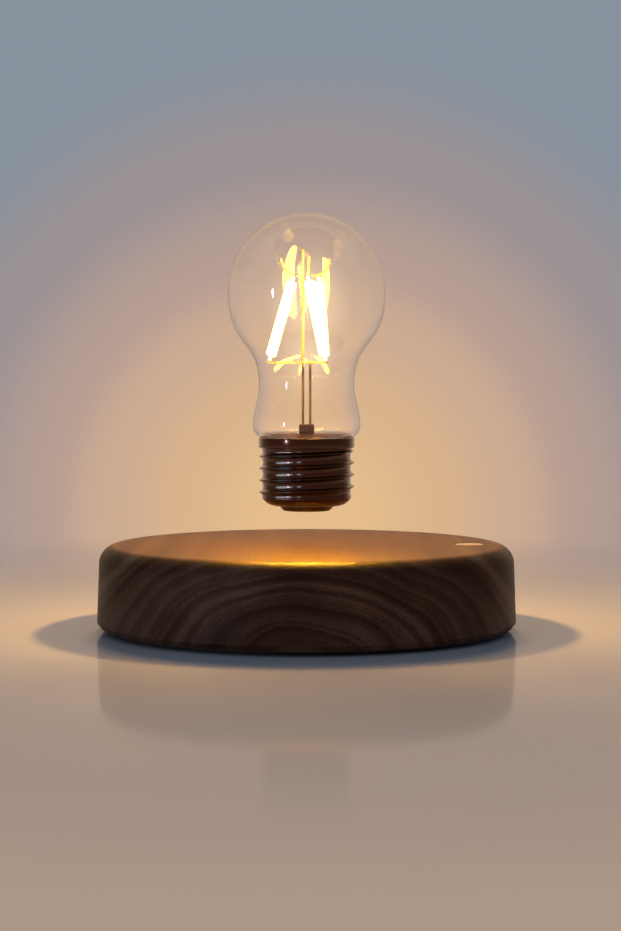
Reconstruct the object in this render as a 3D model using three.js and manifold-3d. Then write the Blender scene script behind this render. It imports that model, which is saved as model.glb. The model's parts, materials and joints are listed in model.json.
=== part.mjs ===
// A levitating lamp: a round wooden base that holds a magnet ring, four steering
// coils and a sending coil, and a glass bulb that floats above it on its own magnet.
// Millimetres, +Z up. The origin is on the table, on the lamp's axis. The front faces -Y.
import * as THREE from "three";
import { mergeVertices } from "three/addons/utils/BufferGeometryUtils.js";
import Module from "manifold-3d";

// Fits and cuts
const seatGap = 0.3;
const cutOverrun = 1;

// Wooden base
const baseRadius = 75;
const baseDraft = 0.8;
const baseTopHeight = 30.8;
const baseEdgeRadius = 6;
const baseChamferWidth = 1.4;
const baseChamferHeight = 1.8;
const baseWall = 10;
const baseTopThickness = 4.8;

// Bottom cover and rubber feet
const coverInset = 3;
const coverThickness = 2.4;
const coverProud = 1;
const standoffRadius = 3;
const standoffHeight = 3.8;
const standoffMargin = 1;
const footRadius = 6;
const footProud = 0.8;
const footRecess = 0.5;
const footInset = 12;

// Screws
const screwHeadRadius = 2.8;
const screwHeadHeight = 1.2;
const screwShankRadius = 1.4;
const screwDriveRadius = 1.1;
const screwDriveDepth = 0.7;
const coverScrewMargin = 0.9;
const coverScrewLength = 8;
const carrierScrewLength = 16;

// Control board and what stands on it
const boardThickness = 1.6;
const boardEarHalfWidth = 5;
const boardEarMargin = 2.2;
const jackWidth = 9;
const jackHeight = 10;
const jackDepth = 14;
const jackBoreRadius = 3.1;
const jackBoreDepth = 10.5;
const jackPinRadius = 1.05;
const jackPinSetback = 1;
const jackPinRoot = 2;
const plugHoleRadius = 5.5;
const capacitorRadius = 3.15;
const capacitorHeight = 9;
const capacitorMargin = 1.35;
const hallBoardSize = 9;
const hallBoardThickness = 1;
const hallSensorWidth = 4;
const hallSensorDepth = 1.6;
const hallSensorHeight = 3;
const hallSensorOffset = 2.4;
const chipHeight = 1.5;
const chipSize = 9;
const transistorSize = 6.5;
const transistorHeight = 2.3;

// Steering coils, magnet ring and their carrier
const coilGap = 1.7;
const coilCoreRadius = 3;
const bobbinRadius = 9.8;
const bobbinWall = 1.3;
const bobbinFlange = 1;
const windingMargin = 0.6;
const ringGap = 2.2;
const ringWidth = 15;
const ringHeight = 8;
const carrierLip = 3;
const carrierThickness = 1.8;
const carrierWindowRadius = 6;
const carrierRibInset = 5;
const carrierRibWidth = 2;
const sendingCoilWidth = 15;
const sendingCoilThickness = 1.1;
const leadRadius = 0.5;
const leadInset = 2;

// Touch switch
const touchRadius = 5;
const touchWallGap = 0.5;
const touchFlangeWidth = 1;
const touchFlangeThickness = 1;
const springRadius = 2.6;
const springWire = 0.35;
const springPitch = 2.4;

// Floating bulb: metal cap
const levitationGap = 12.1;
const endDiscRadius = 9.7;
const endDiscTaper = 1.3;
const endDiscLip = 2.1;
const endDiscHeight = 1.5;
const capRadius = 16.05;
const capWall = 0.65;
const capHeight = 20.5;
const capCornerRadius = 5.5;
const capCornerHeight = 2.9;
const threadPitch = 4.29;
const threadDepth = 1.1;
const threadFirstCrest = 6.9;
const threadRunout = 1.3;
const collarProud = 1.15;
const collarWall = 1.4;
const collarHeight = 3.3;
const collarBevel = 0.4;

// Floating bulb: what the cap holds
const receivingCoilInner = 5;
const receivingCoilMargin = 3.2;
const receivingCoilThickness = 1.2;
const ferriteThickness = 0.8;
const magnetMargin = 1.2;
const magnetThickness = 8;
const magnetBevel = 0.5;
const rectifierThickness = 1.2;
const rectifierPartSize = 3.2;
const rectifierPartHeight = 2;
const rectifierPartOffset = 6;
const cementThickness = 1.2;

// Floating bulb: glass
const glassWall = 1;
const neckLength = 8.1;
const neckFillet = 1.9;
const flareProud = 2.1;
const flareHeight = 4.2;
const flarePull = 5.5;
const waistDraw = 2.15;
const waistHeight = 19.2;
const waistPullDown = 6;
const waistPullUp = 16;
const globeRadius = 28.3;
const globeHeight = 51.9;
const globePull = 20;

// Floating bulb: filament mount
const stemPlateLap = 0.2;
const stemPlateThickness = 0.5;
const leadBlockWidth = 5.4;
const leadBlockDepth = 4;
const leadBlockHeight = 4.1;
const rodRadius = 0.45;
const rodSpacing = 2.6;
const starHeight = 26.6;
const starRadius = 14.2;
const starHubWall = 0.45;
const starThickness = 0.6;
const starArmWidth = 0.9;
const starRodGap = 0.6;
const crownHeight = 57.4;
const crownHubWall = 0.55;
const crownThickness = 0.6;
const crownWireRadius = 0.35;
const crownWireLap = 0.6;
const crownHornRadius = 10.2;
const crownHornHeight = 6.2;
const crownHornLean = 1;
const crownRodReach = 9.2;
const filamentRadius = 1.25;
const filamentPinRadius = 0.5;
const filamentPinLength = 1.6;
const filamentTiltGap = 0.2;

// Counts, angles and shares, which have no length
const coilCount = 4;
const footCount = 4;
const filamentCount = 3;
const rectifierPartCount = 4;
const crownTurn = THREE.MathUtils.degToRad(-25);
const starTurn = Math.PI;
const capacitorAngles = [65, 115, 245].map(THREE.MathUtils.degToRad);
const leadTurn = THREE.MathUtils.degToRad(6);
const crownSeatShare = 0.25;
const threadShares = [1, 0.1, 0, 0, 0.1];
const baseSides = 52;
const ringSides = 32;
const bulbSides = 26;
const smallSides = 12;
const springStepsPerTurn = 5;
const wireSides = 6;

// Radii in the base: from the wood inwards, then from the middle outwards
const cavityRadius = baseRadius - baseWall;
const coverRadius = baseRadius - coverInset;
const coverScrewCircle = coverRadius - screwHeadRadius - coverScrewMargin;
const footCircle = coverRadius - footInset;
const jackFace = Math.sqrt(cavityRadius ** 2 - (jackWidth / 2) ** 2) - seatGap;
const touchOffset = cavityRadius - touchWallGap - touchFlangeWidth - touchRadius;
const bobbinTubeRadius = coilCoreRadius + seatGap + bobbinWall;
const coilCircle = hallBoardSize / 2 + coilGap + bobbinRadius;
const ringInnerRadius = coilCircle + bobbinRadius + ringGap;
const ringOuterRadius = ringInnerRadius + ringWidth;
const capacitorCircle = ringOuterRadius + capacitorMargin + capacitorRadius;
const boardRadius = capacitorCircle + capacitorRadius + capacitorMargin;
const carrierScrewCircle = boardRadius - standoffMargin - standoffRadius;
const carrierRadius = ringOuterRadius + carrierLip;
const carrierRibInner = ringInnerRadius + carrierRibInset;
const leadCircle = ringInnerRadius - leadInset;
const sendingCoilInner = leadCircle - leadInset;
const sendingCoilOuter = sendingCoilInner + sendingCoilWidth;

// Heights in the base: from the table up to the board, then from the top down
const coverBottom = footProud;
const coverTop = coverBottom + coverThickness;
const woodBottom = coverBottom + coverProud;
const boardBottom = coverTop + standoffHeight + seatGap;
const boardTop = boardBottom + boardThickness;
const boardSeat = boardTop + seatGap;
const ringTop = boardSeat + ringHeight;
const jackAxisHeight = boardSeat + jackHeight / 2;
const cavityTop = baseTopHeight - baseTopThickness;
const touchFlangeTop = cavityTop - seatGap;
const touchFlangeBottom = touchFlangeTop - touchFlangeThickness;
const sendingCoilTop = cavityTop - seatGap;
const sendingCoilBottom = sendingCoilTop - sendingCoilThickness;
const carrierTop = sendingCoilBottom - seatGap;
const carrierBottom = carrierTop - carrierThickness;
const bobbinHeight = carrierBottom - seatGap - boardSeat;

// Radii in the bulb
const endDiscTipRadius = endDiscRadius - endDiscTaper;
const spigotRadius = endDiscRadius - endDiscLip;
const capInnerRadius = capRadius - capWall;
const magnetRadius = capInnerRadius - magnetMargin;
const receivingCoilOuter = capInnerRadius - receivingCoilMargin;
const collarRadius = capRadius + collarProud;
const neckRadius = capInnerRadius - cementThickness - 2 * seatGap;
const flareRadius = collarRadius + flareProud;
const waistRadius = flareRadius - waistDraw;
const stemPlateRadius = neckRadius - glassWall + stemPlateLap;
const starHubRadius = rodSpacing / 2 + rodRadius + starRodGap + starHubWall;
const crownHubRadius = rodSpacing / 2 + rodRadius + seatGap + crownHubWall;

// Heights in the bulb, from the tip of its cap up
const capBottom = endDiscHeight + seatGap;
const capFloor = capBottom + capWall;
const capTop = capBottom + capHeight;
const receivingCoilBottom = capFloor + seatGap;
const ferriteBottom = receivingCoilBottom + receivingCoilThickness + seatGap;
const magnetBottom = ferriteBottom + ferriteThickness + seatGap;
const rectifierBottom = magnetBottom + magnetThickness + seatGap;
const rectifierTop = rectifierBottom + rectifierThickness;
const collarBottom = capTop + seatGap;
const collarTop = collarBottom + collarHeight;
const shoulder = collarTop + seatGap;
const neckBottom = shoulder - neckLength;
const waist = shoulder + waistHeight;
const globeCentre = shoulder + globeHeight;
const shoulderRadius = neckRadius + neckFillet;
const innerFillet = neckFillet + glassWall;
const stemPlateReach = shoulderRadius - stemPlateRadius - seatGap;
const stemPlateBottom =
  shoulder - neckFillet + Math.sqrt(innerFillet ** 2 - stemPlateReach ** 2);
const stemPlateTop = stemPlateBottom + stemPlateThickness;
const leadBlockBottom = stemPlateTop + seatGap;
const starBottom = shoulder + starHeight;
const starTop = starBottom + starThickness;
const crownBottom = shoulder + crownHeight;
const crownTop = crownBottom + crownThickness;

const wasm = await Module();
wasm.setup();

// A closed geometry as a solid that can be joined and cut, and back again.
function toSolid(geometry) {
  const bare = geometry.clone();
  bare.deleteAttribute("normal");
  bare.deleteAttribute("uv");
  const merged = mergeVertices(bare);
  return new wasm.Manifold(
    new wasm.Mesh({
      numProp: 3,
      vertProperties: merged.attributes.position.array,
      triVerts: new Uint32Array(merged.index.array),
    }),
  );
}

function toGeometry(solid) {
  const mesh = solid.getMesh();
  const geometry = new THREE.BufferGeometry();
  geometry.setAttribute("position", new THREE.BufferAttribute(mesh.vertProperties, 3));
  geometry.setIndex(new THREE.BufferAttribute(mesh.triVerts, 1));
  const flat = geometry.toNonIndexed();
  flat.computeVertexNormals();
  return flat;
}

function cut(piece, ...tools) {
  return toGeometry(tools.reduce((solid, tool) => solid.subtract(toSolid(tool)), toSolid(piece)));
}

function join(...pieces) {
  return toGeometry(pieces.map(toSolid).reduce((sum, solid) => sum.add(solid)));
}

function overlapOf(first, second) {
  return toGeometry(toSolid(first).intersect(toSolid(second)));
}

// An outline of [radius, height] points turned round the Z axis. It runs up the
// outside, and starts and ends on the axis or closes on itself.
function turned(outline, sides) {
  const points = outline.map(([radius, height]) => new THREE.Vector2(radius, height));
  return new THREE.LatheGeometry(points, sides).rotateX(Math.PI / 2);
}

function disc(radius, bottom, top, sides = smallSides) {
  return turned([[0, bottom], [radius, bottom], [radius, top], [0, top]], sides);
}

function ring(inner, outer, bottom, top, sides = ringSides) {
  const outline = [[inner, bottom], [outer, bottom], [outer, top], [inner, top], [inner, bottom]];
  return turned(outline, sides);
}

function block(width, depth, bottom, top) {
  return new THREE.BoxGeometry(width, depth, top - bottom).translate(0, 0, (bottom + top) / 2);
}

// A round bar between two points.
function bar(from, to, radius, sides = smallSides) {
  const along = new THREE.Vector3().subVectors(to, from);
  const turn = new THREE.Quaternion().setFromUnitVectors(
    new THREE.Vector3(0, 0, 1),
    along.clone().normalize(),
  );
  return disc(radius, 0, along.length(), sides)
    .applyQuaternion(turn)
    .translate(from.x, from.y, from.z);
}

// A round wire that follows a curve.
function wire(curve, radius, steps, sides = wireSides) {
  const section = new THREE.Shape().absarc(0, 0, radius, 0, 2 * Math.PI);
  return new THREE.ExtrudeGeometry(section, {
    steps,
    curveSegments: sides / 2,
    extrudePath: curve,
    bevelEnabled: false,
  });
}

// Points of an arc in an outline, as [radius, height], with both its ends.
function arc(centreRadius, centreHeight, width, height, start, end, steps) {
  return Array.from({ length: steps + 1 }, (_, i) => {
    const angle = start + ((end - start) * i) / steps;
    return [centreRadius + width * Math.cos(angle), centreHeight + height * Math.sin(angle)];
  });
}

function bend(start, startPull, endPull, end, steps) {
  const curve = new THREE.CubicBezierCurve(
    new THREE.Vector2(...start),
    new THREE.Vector2(start[0], start[1] + startPull),
    new THREE.Vector2(end[0], end[1] - endPull),
    new THREE.Vector2(...end),
  );
  return curve.getPoints(steps).map((point) => [point.x, point.y]);
}

// The same outline moved square to itself, for the inside of a wall.
function inset(outline, distance) {
  return outline.map(([radius, height], i) => {
    const before = outline[Math.max(i - 1, 0)];
    const after = outline[Math.min(i + 1, outline.length - 1)];
    const run = new THREE.Vector2(after[0] - before[0], after[1] - before[1]).normalize();
    return [Math.max(radius - run.y * distance, 0), height + run.x * distance];
  });
}

function onCircle(radius, angle, height = 0) {
  return new THREE.Vector3(radius * Math.cos(angle), radius * Math.sin(angle), height);
}

// Copies of a geometry on a circle round the Z axis, without turning them.
function spread(geometry, radius, angles) {
  return angles.map((angle) => {
    const at = onCircle(radius, angle);
    return geometry.clone().translate(at.x, at.y, 0);
  });
}

function evenAngles(count, start = 0) {
  return Array.from({ length: count }, (_, i) => start + (2 * Math.PI * i) / count);
}

const materials = {
  walnut: { color: 0x5a3a26, roughness: 0.5, metalness: 0 },
  blackPlastic: { color: 0x17171a, roughness: 0.6, metalness: 0 },
  rubber: { color: 0x0e0e0f, roughness: 0.9, metalness: 0 },
  steel: { color: 0x9b9da1, roughness: 0.35, metalness: 1 },
  board: { color: 0x1f5a3a, roughness: 0.5, metalness: 0 },
  chip: { color: 0x1b1b1d, roughness: 0.5, metalness: 0 },
  copper: { color: 0xb4683a, roughness: 0.35, metalness: 1 },
  ferrite: { color: 0x3a3a3d, roughness: 0.7, metalness: 0 },
  magnet: { color: 0xb9bbbf, roughness: 0.25, metalness: 1 },
  touchPad: { color: 0xe8cdb4, roughness: 0.4, metalness: 0 },
  blackNickel: { color: 0x2a2523, roughness: 0.2, metalness: 1 },
  cement: { color: 0xb8b2a6, roughness: 0.9, metalness: 0 },
  glass: { color: 0xf4f1ea, roughness: 0.05, metalness: 0, transparent: true, opacity: 0.3 },
  filament: { color: 0xffd98a, roughness: 0.6, metalness: 0, emissive: 0xffc766 },
};

function place(group, name, geometry, finish) {
  const mesh = new THREE.Mesh(geometry, new THREE.MeshStandardMaterial(materials[finish]));
  mesh.name = name;
  group.add(mesh);
  return mesh;
}

// The base is turned from one block: a drafted side, a rounded top edge, a small
// chamfer at the foot, a deep cavity from below and a rebate for the cover.
function woodenShell() {
  const topRadius = baseRadius - baseDraft;
  const sideTop = baseTopHeight - baseEdgeRadius;
  const rebateTop = coverTop + seatGap;
  const rebateRadius = coverRadius + seatGap;
  const blank = turned(
    [
      [0, woodBottom],
      [baseRadius - baseChamferWidth, woodBottom],
      [baseRadius, woodBottom + baseChamferHeight],
      ...arc(topRadius - baseEdgeRadius, sideTop, baseEdgeRadius, baseEdgeRadius, 0, Math.PI / 2, 6),
      [0, baseTopHeight],
    ],
    baseSides,
  );
  const plugHole = bar(
    new THREE.Vector3(0, jackFace, jackAxisHeight),
    new THREE.Vector3(0, baseRadius + cutOverrun, jackAxisHeight),
    plugHoleRadius,
  );
  const touchHole = disc(touchRadius + seatGap, cavityTop - cutOverrun, baseTopHeight + cutOverrun);
  const screwHole = disc(screwShankRadius + seatGap, woodBottom, coverScrewTop() + seatGap);
  return cut(
    blank,
    disc(rebateRadius, woodBottom - cutOverrun, rebateTop, baseSides),
    disc(cavityRadius, woodBottom, cavityTop, baseSides),
    plugHole,
    touchHole.translate(touchOffset, 0, 0),
    ...spread(screwHole, coverScrewCircle, evenAngles(footCount, Math.PI / 4)),
  );
}

// A screw drawn head down: a pan head with a hex socket under a plain shank.
function screw(length) {
  const head = join(
    disc(screwHeadRadius, 0, screwHeadHeight),
    disc(screwShankRadius, 0, length, wireSides),
  );
  return cut(head, disc(screwDriveRadius, -cutOverrun, screwDriveDepth, 6));
}

function screwHeadBottom() {
  return coverBottom + seatGap / 2;
}

function coverScrewTop() {
  return screwHeadBottom() + coverScrewLength;
}

function carrierScrewTop() {
  return screwHeadBottom() + carrierScrewLength;
}

function placeScrews(group, name, length, circle) {
  evenAngles(footCount, Math.PI / 4).forEach((angle, i) => {
    const mesh = place(group, `${name}_${i + 1}`, screw(length), "steel");
    mesh.position.copy(onCircle(circle, angle, screwHeadBottom()));
  });
}

// The moulded cover closes the base from below and carries four standoffs.
function bottomCover() {
  const corners = evenAngles(footCount, Math.PI / 4);
  const headRecess = disc(
    screwHeadRadius + seatGap,
    coverBottom - cutOverrun,
    screwHeadBottom() + screwHeadHeight + seatGap,
  );
  const shankHole = disc(
    screwShankRadius + seatGap,
    coverBottom,
    coverTop + standoffHeight + cutOverrun,
    wireSides,
  );
  const standoff = disc(standoffRadius, coverBottom, coverTop + standoffHeight);
  const footSeat = disc(footRadius + seatGap, coverBottom - cutOverrun, coverBottom + footRecess);
  return cut(
    join(
      disc(coverRadius, coverBottom, coverTop, baseSides),
      ...spread(standoff, carrierScrewCircle, corners),
    ),
    ...spread(headRecess, coverScrewCircle, corners),
    ...spread(headRecess, carrierScrewCircle, corners),
    ...spread(shankHole, coverScrewCircle, corners),
    ...spread(shankHole, carrierScrewCircle, corners),
    ...spread(footSeat, footCircle, evenAngles(footCount)),
  );
}

// The round control board has one ear for the touch spring and one for the jack. The
// driver transistors are soldered flat under it, one below each coil.
function controlBoard() {
  const earReach = cavityRadius - boardEarMargin;
  const ear = block(earReach, 2 * boardEarHalfWidth, boardBottom, boardTop);
  const shankHole = disc(
    screwShankRadius + seatGap,
    boardBottom - cutOverrun,
    boardTop + cutOverrun,
    wireSides,
  );
  const transistor = block(
    transistorSize,
    transistorSize,
    boardBottom - transistorHeight,
    boardTop,
  );
  return cut(
    join(
      disc(boardRadius, boardBottom, boardTop, baseSides),
      ear.clone().translate(earReach / 2, 0, 0),
      ear.clone().rotateZ(Math.PI / 2).translate(0, earReach / 2, 0),
      ...spread(transistor, coilCircle, evenAngles(coilCount)),
    ),
    ...spread(shankHole, carrierScrewCircle, evenAngles(footCount, Math.PI / 4)),
  );
}

// The power socket stands on the board's rear ear and opens towards the rear wall.
function powerJack() {
  const body = block(jackWidth, jackDepth, boardSeat, boardSeat + jackHeight);
  const boreBack = jackFace - jackBoreDepth;
  return cut(
    body.translate(0, jackFace - jackDepth / 2, 0),
    bar(
      new THREE.Vector3(0, boreBack, jackAxisHeight),
      new THREE.Vector3(0, jackFace + cutOverrun, jackAxisHeight),
      jackBoreRadius,
    ),
    bar(
      new THREE.Vector3(0, boreBack - jackPinRoot - seatGap, jackAxisHeight),
      new THREE.Vector3(0, boreBack + cutOverrun, jackAxisHeight),
      jackPinRadius + seatGap,
    ),
  );
}

function powerJackPin() {
  const boreBack = jackFace - jackBoreDepth;
  return bar(
    new THREE.Vector3(0, boreBack - jackPinRoot, jackAxisHeight),
    new THREE.Vector3(0, jackFace - jackPinSetback, jackAxisHeight),
    jackPinRadius,
  );
}

function boardParts(group) {
  place(group, "control_board", controlBoard(), "board");
  place(group, "dc_jack", powerJack(), "blackPlastic");
  place(group, "dc_jack_pin", powerJackPin(), "steel");
  const chipTop = boardBottom - seatGap;
  const chip = block(chipSize, chipSize, chipTop - chipHeight, chipTop);
  place(group, "controller_chip", chip, "chip");
  capacitorAngles.forEach((angle, i) => {
    const can = disc(capacitorRadius, 0, capacitorHeight);
    const mesh = place(group, `smoothing_capacitor_${i + 1}`, can, "blackPlastic");
    mesh.position.copy(onCircle(capacitorCircle, angle, boardSeat));
  });
  place(group, "hall_board", hallBoard(), "board");
}

// The sensor board stands in the middle of the coils with two upright sensors on it.
function hallBoard() {
  const top = boardSeat + hallBoardThickness;
  const sensor = block(hallSensorWidth, hallSensorDepth, boardSeat, top + hallSensorHeight);
  return join(
    block(hallBoardSize, hallBoardSize, boardSeat, top),
    ...spread(sensor, hallSensorOffset, [-Math.PI / 2, Math.PI / 2]),
  );
}

// One steering coil: a moulded bobbin, its winding and an iron core.
function bobbin() {
  const bore = coilCoreRadius + seatGap;
  const outline = [
    [bore, 0],
    [bobbinRadius, 0],
    [bobbinRadius, bobbinFlange],
    [bobbinTubeRadius, bobbinFlange],
    [bobbinTubeRadius, bobbinHeight - bobbinFlange],
    [bobbinRadius, bobbinHeight - bobbinFlange],
    [bobbinRadius, bobbinHeight],
    [bore, bobbinHeight],
    [bore, 0],
  ];
  return turned(outline, smallSides);
}

function winding() {
  return ring(
    bobbinTubeRadius + seatGap,
    bobbinRadius - windingMargin,
    bobbinFlange + seatGap,
    bobbinHeight - bobbinFlange - seatGap,
    smallSides,
  );
}

function steeringCoils(group) {
  evenAngles(coilCount).forEach((angle, i) => {
    const coil = new THREE.Group();
    coil.position.copy(onCircle(coilCircle, angle, boardSeat));
    place(coil, `coil_bobbin_${i + 1}`, bobbin(), "blackPlastic");
    place(coil, `coil_winding_${i + 1}`, winding(), "copper");
    place(coil, `coil_core_${i + 1}`, disc(coilCoreRadius, 0, bobbinHeight), "steel");
    group.add(coil);
  });
}

// The carrier is a moulded plate whose four lobes stand on legs. A ring rib under it
// holds the magnet ring down, windows open over the coils and two holes pass the
// sending coil's leads.
function coilCarrier() {
  const corners = evenAngles(footCount, Math.PI / 4);
  const plate = disc(carrierRadius, carrierBottom, carrierTop, ringSides);
  const lobe = disc(standoffRadius + standoffMargin, carrierBottom, carrierTop);
  const leg = disc(standoffRadius, boardSeat, carrierTop);
  const rib = ring(
    carrierRibInner,
    carrierRibInner + carrierRibWidth,
    ringTop + seatGap,
    carrierTop,
  );
  const window = disc(carrierWindowRadius, carrierBottom - cutOverrun, carrierTop + cutOverrun);
  const leadHole = disc(
    leadRadius + seatGap,
    carrierBottom - cutOverrun,
    carrierTop + cutOverrun,
    wireSides,
  );
  const screwHole = disc(
    screwShankRadius + seatGap,
    boardSeat - cutOverrun,
    carrierScrewTop() + seatGap,
    wireSides,
  );
  return cut(
    join(
      plate,
      rib,
      ...spread(lobe, carrierScrewCircle, corners),
      ...spread(leg, carrierScrewCircle, corners),
    ),
    ...spread(window, coilCircle, evenAngles(coilCount)),
    ...spread(leadHole, leadCircle, leadAngles()),
    ...spread(screwHole, carrierScrewCircle, corners),
  );
}

function leadAngles() {
  return [Math.PI / 4 - leadTurn, Math.PI / 4 + leadTurn];
}

// The sending coil is a flat winding whose two ends run down to the control board.
function sendingCoil() {
  const lead = disc(leadRadius, boardSeat, sendingCoilTop, wireSides);
  return join(
    ring(sendingCoilInner, sendingCoilOuter, sendingCoilBottom, sendingCoilTop),
    ...spread(lead, leadCircle, leadAngles()),
  );
}

// The touch pad is flush with the top. Its flange lies under the wood, and a
// spring joins it to the board's ear.
function touchPad() {
  const flangeRadius = touchRadius + touchFlangeWidth;
  return turned(
    [
      [0, touchFlangeBottom],
      [flangeRadius, touchFlangeBottom],
      [flangeRadius, touchFlangeTop],
      [touchRadius, touchFlangeTop],
      [touchRadius, baseTopHeight],
      [0, baseTopHeight],
    ],
    smallSides,
  );
}

class Helix extends THREE.Curve {
  constructor(radius, pitch, bottom, top) {
    super();
    Object.assign(this, { radius, pitch, bottom, top });
  }
  getPoint(share) {
    const height = this.bottom + (this.top - this.bottom) * share;
    return onCircle(this.radius, (2 * Math.PI * height) / this.pitch, height);
  }
}

function touchSpring() {
  const bottom = boardSeat + springWire;
  const top = touchFlangeBottom - seatGap - springWire;
  const turns = (top - bottom) / springPitch;
  const curve = new Helix(springRadius, springPitch, bottom, top);
  return wire(curve, springWire, Math.ceil(turns * springStepsPerTurn), 6);
}

function makeBase() {
  const group = new THREE.Group();
  place(group, "base_shell", woodenShell(), "walnut");
  place(group, "bottom_cover", bottomCover(), "blackPlastic");
  evenAngles(footCount).forEach((angle, i) => {
    const foot = disc(footRadius, 0, coverBottom + footRecess - seatGap);
    place(group, `foot_${i + 1}`, foot, "rubber").position.copy(onCircle(footCircle, angle));
  });
  placeScrews(group, "cover_screw", coverScrewLength, coverScrewCircle);
  placeScrews(group, "carrier_screw", carrierScrewLength, carrierScrewCircle);
  boardParts(group);
  steeringCoils(group);
  place(
    group,
    "magnet_ring",
    ring(ringInnerRadius, ringOuterRadius, boardSeat, ringTop),
    "ferrite",
  );
  place(group, "coil_carrier", coilCarrier(), "blackPlastic");
  place(group, "sending_coil", sendingCoil(), "copper");
  place(group, "touch_switch", touchPad(), "touchPad").position.x = touchOffset;
  place(group, "touch_spring", touchSpring(), "steel").position.x = touchOffset;
  return group;
}

// A long rod with a right-hand ridge wound round it. Its rows of points follow the
// helix, so after one turn a row meets the row one pitch above it.
function ridgedRod(bottom, top, crestHeight, ridgeBottom, ridgeTop) {
  const rows = threadShares.length;
  const turns = Math.ceil((top - bottom) / threadPitch) + 1;
  const last = turns * rows;
  const below = Math.ceil((crestHeight - bottom) / threadPitch) + 1;
  const start = crestHeight - below * threadPitch;
  const positions = [];
  const columnStarts = [];
  for (let column = 0; column < bulbSides; column++) {
    columnStarts.push(positions.length / 3);
    const end = column === 0 ? last + rows : last;
    for (let row = 0; row <= end; row++) {
      const height = start + threadPitch * (row / rows + column / bulbSides);
      const runout = Math.min(height - ridgeBottom, ridgeTop - height) / threadRunout;
      const fade = THREE.MathUtils.clamp(runout, 0, 1);
      const radius = capRadius + threadDepth * threadShares[row % rows] * fade;
      positions.push(...onCircle(radius, (2 * Math.PI * column) / bulbSides, height));
    }
  }
  const at = (column, row) =>
    column === bulbSides ? columnStarts[0] + row + rows : columnStarts[column] + row;
  const faces = [];
  for (let column = 0; column < bulbSides; column++) {
    for (let row = 0; row < last; row++) {
      const [a, b] = [at(column, row), at(column + 1, row)];
      const [c, d] = [at(column + 1, row + 1), at(column, row + 1)];
      faces.push(a, b, c, a, c, d);
    }
  }
  closeEnd(positions, faces, endLoop(at, 0, rows), start, true);
  closeEnd(positions, faces, endLoop(at, last, rows), start + threadPitch * (turns + 1), false);
  const rod = new THREE.BufferGeometry();
  rod.setAttribute("position", new THREE.Float32BufferAttribute(positions, 3));
  rod.setIndex(faces);
  return rod;
}

// The open edge of the ridged rod: once round a row, then down the step of one pitch.
function endLoop(at, row, rows) {
  const round = Array.from({ length: bulbSides }, (_, column) => at(column, row));
  const step = Array.from({ length: rows }, (_, i) => at(bulbSides, row - i));
  return [...round, ...step];
}

function closeEnd(positions, faces, loop, height, facesDown) {
  const centre = positions.length / 3;
  positions.push(0, 0, height);
  loop.forEach((point, i) => {
    const next = loop[(i + 1) % loop.length];
    faces.push(centre, ...(facesDown ? [next, point] : [point, next]));
  });
}

// The rounded corner of the cup: its arc runs up from the flat floor and meets the
// straight wall at a slight angle.
function cupCorner(radius, wallRadius, steps) {
  const rise = capCornerRadius - capCornerHeight;
  const centre = capRadius - Math.sqrt(capCornerRadius ** 2 - rise ** 2);
  const end = -Math.acos((wallRadius - centre) / radius);
  return arc(centre, capBottom + capCornerRadius, radius, radius, -Math.PI / 2, end, steps);
}

// The cap is a drawn cup with a rolled thread: the ridged rod cut to the cup's
// outside, hollowed, with a hole in its floor for the end disc.
function capShell() {
  const cornerTop = capBottom + capCornerHeight;
  const outside = turned(
    [
      [0, capBottom],
      ...cupCorner(capCornerRadius, capRadius, 4),
      [capRadius + threadDepth + cutOverrun, cornerTop],
      [capRadius + threadDepth + cutOverrun, capTop],
      [0, capTop],
    ],
    bulbSides,
  );
  const inside = turned(
    [
      [0, capFloor],
      ...cupCorner(capCornerRadius - capWall, capInnerRadius, 3),
      [capInnerRadius, capTop + cutOverrun],
      [0, capTop + cutOverrun],
    ],
    bulbSides,
  );
  const rod = ridgedRod(
    capBottom - cutOverrun,
    capTop + cutOverrun,
    capBottom + threadFirstCrest,
    cornerTop,
    capTop,
  );
  const hole = disc(spigotRadius + seatGap, capBottom - cutOverrun, capFloor + cutOverrun, bulbSides);
  return cut(overlapOf(rod, outside), inside, hole);
}

// The dark end disc tapers to its tip, and its spigot sits in the cap's floor.
function endDisc() {
  return turned(
    [
      [0, 0],
      [endDiscTipRadius, 0],
      [endDiscRadius, endDiscHeight],
      [spigotRadius, endDiscHeight],
      [spigotRadius, capFloor],
      [0, capFloor],
    ],
    bulbSides,
  );
}

function capCollar() {
  const inner = collarRadius - collarWall;
  const rim = collarRadius - collarBevel;
  return turned(
    [
      [inner, collarBottom],
      [rim, collarBottom],
      [collarRadius, collarBottom + collarBevel],
      [collarRadius, collarTop - collarBevel],
      [rim, collarTop],
      [inner, collarTop],
      [inner, collarBottom],
    ],
    bulbSides,
  );
}

function levitationMagnet() {
  const top = magnetBottom + magnetThickness;
  const flat = magnetRadius - magnetBevel;
  return turned(
    [
      [0, magnetBottom],
      [flat, magnetBottom],
      [magnetRadius, magnetBottom + magnetBevel],
      [magnetRadius, top - magnetBevel],
      [flat, top],
      [0, top],
    ],
    bulbSides,
  );
}

// The rectifier board fills the cap above the magnet and carries four small parts.
function rectifierBoard() {
  const partTop = rectifierTop + rectifierPartHeight;
  const part = block(rectifierPartSize, rectifierPartSize, rectifierBottom, partTop);
  return join(
    disc(capInnerRadius - 2 * seatGap, rectifierBottom, rectifierTop, bulbSides),
    ...spread(part, rectifierPartOffset, evenAngles(rectifierPartCount, Math.PI / 4)),
  );
}

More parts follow.
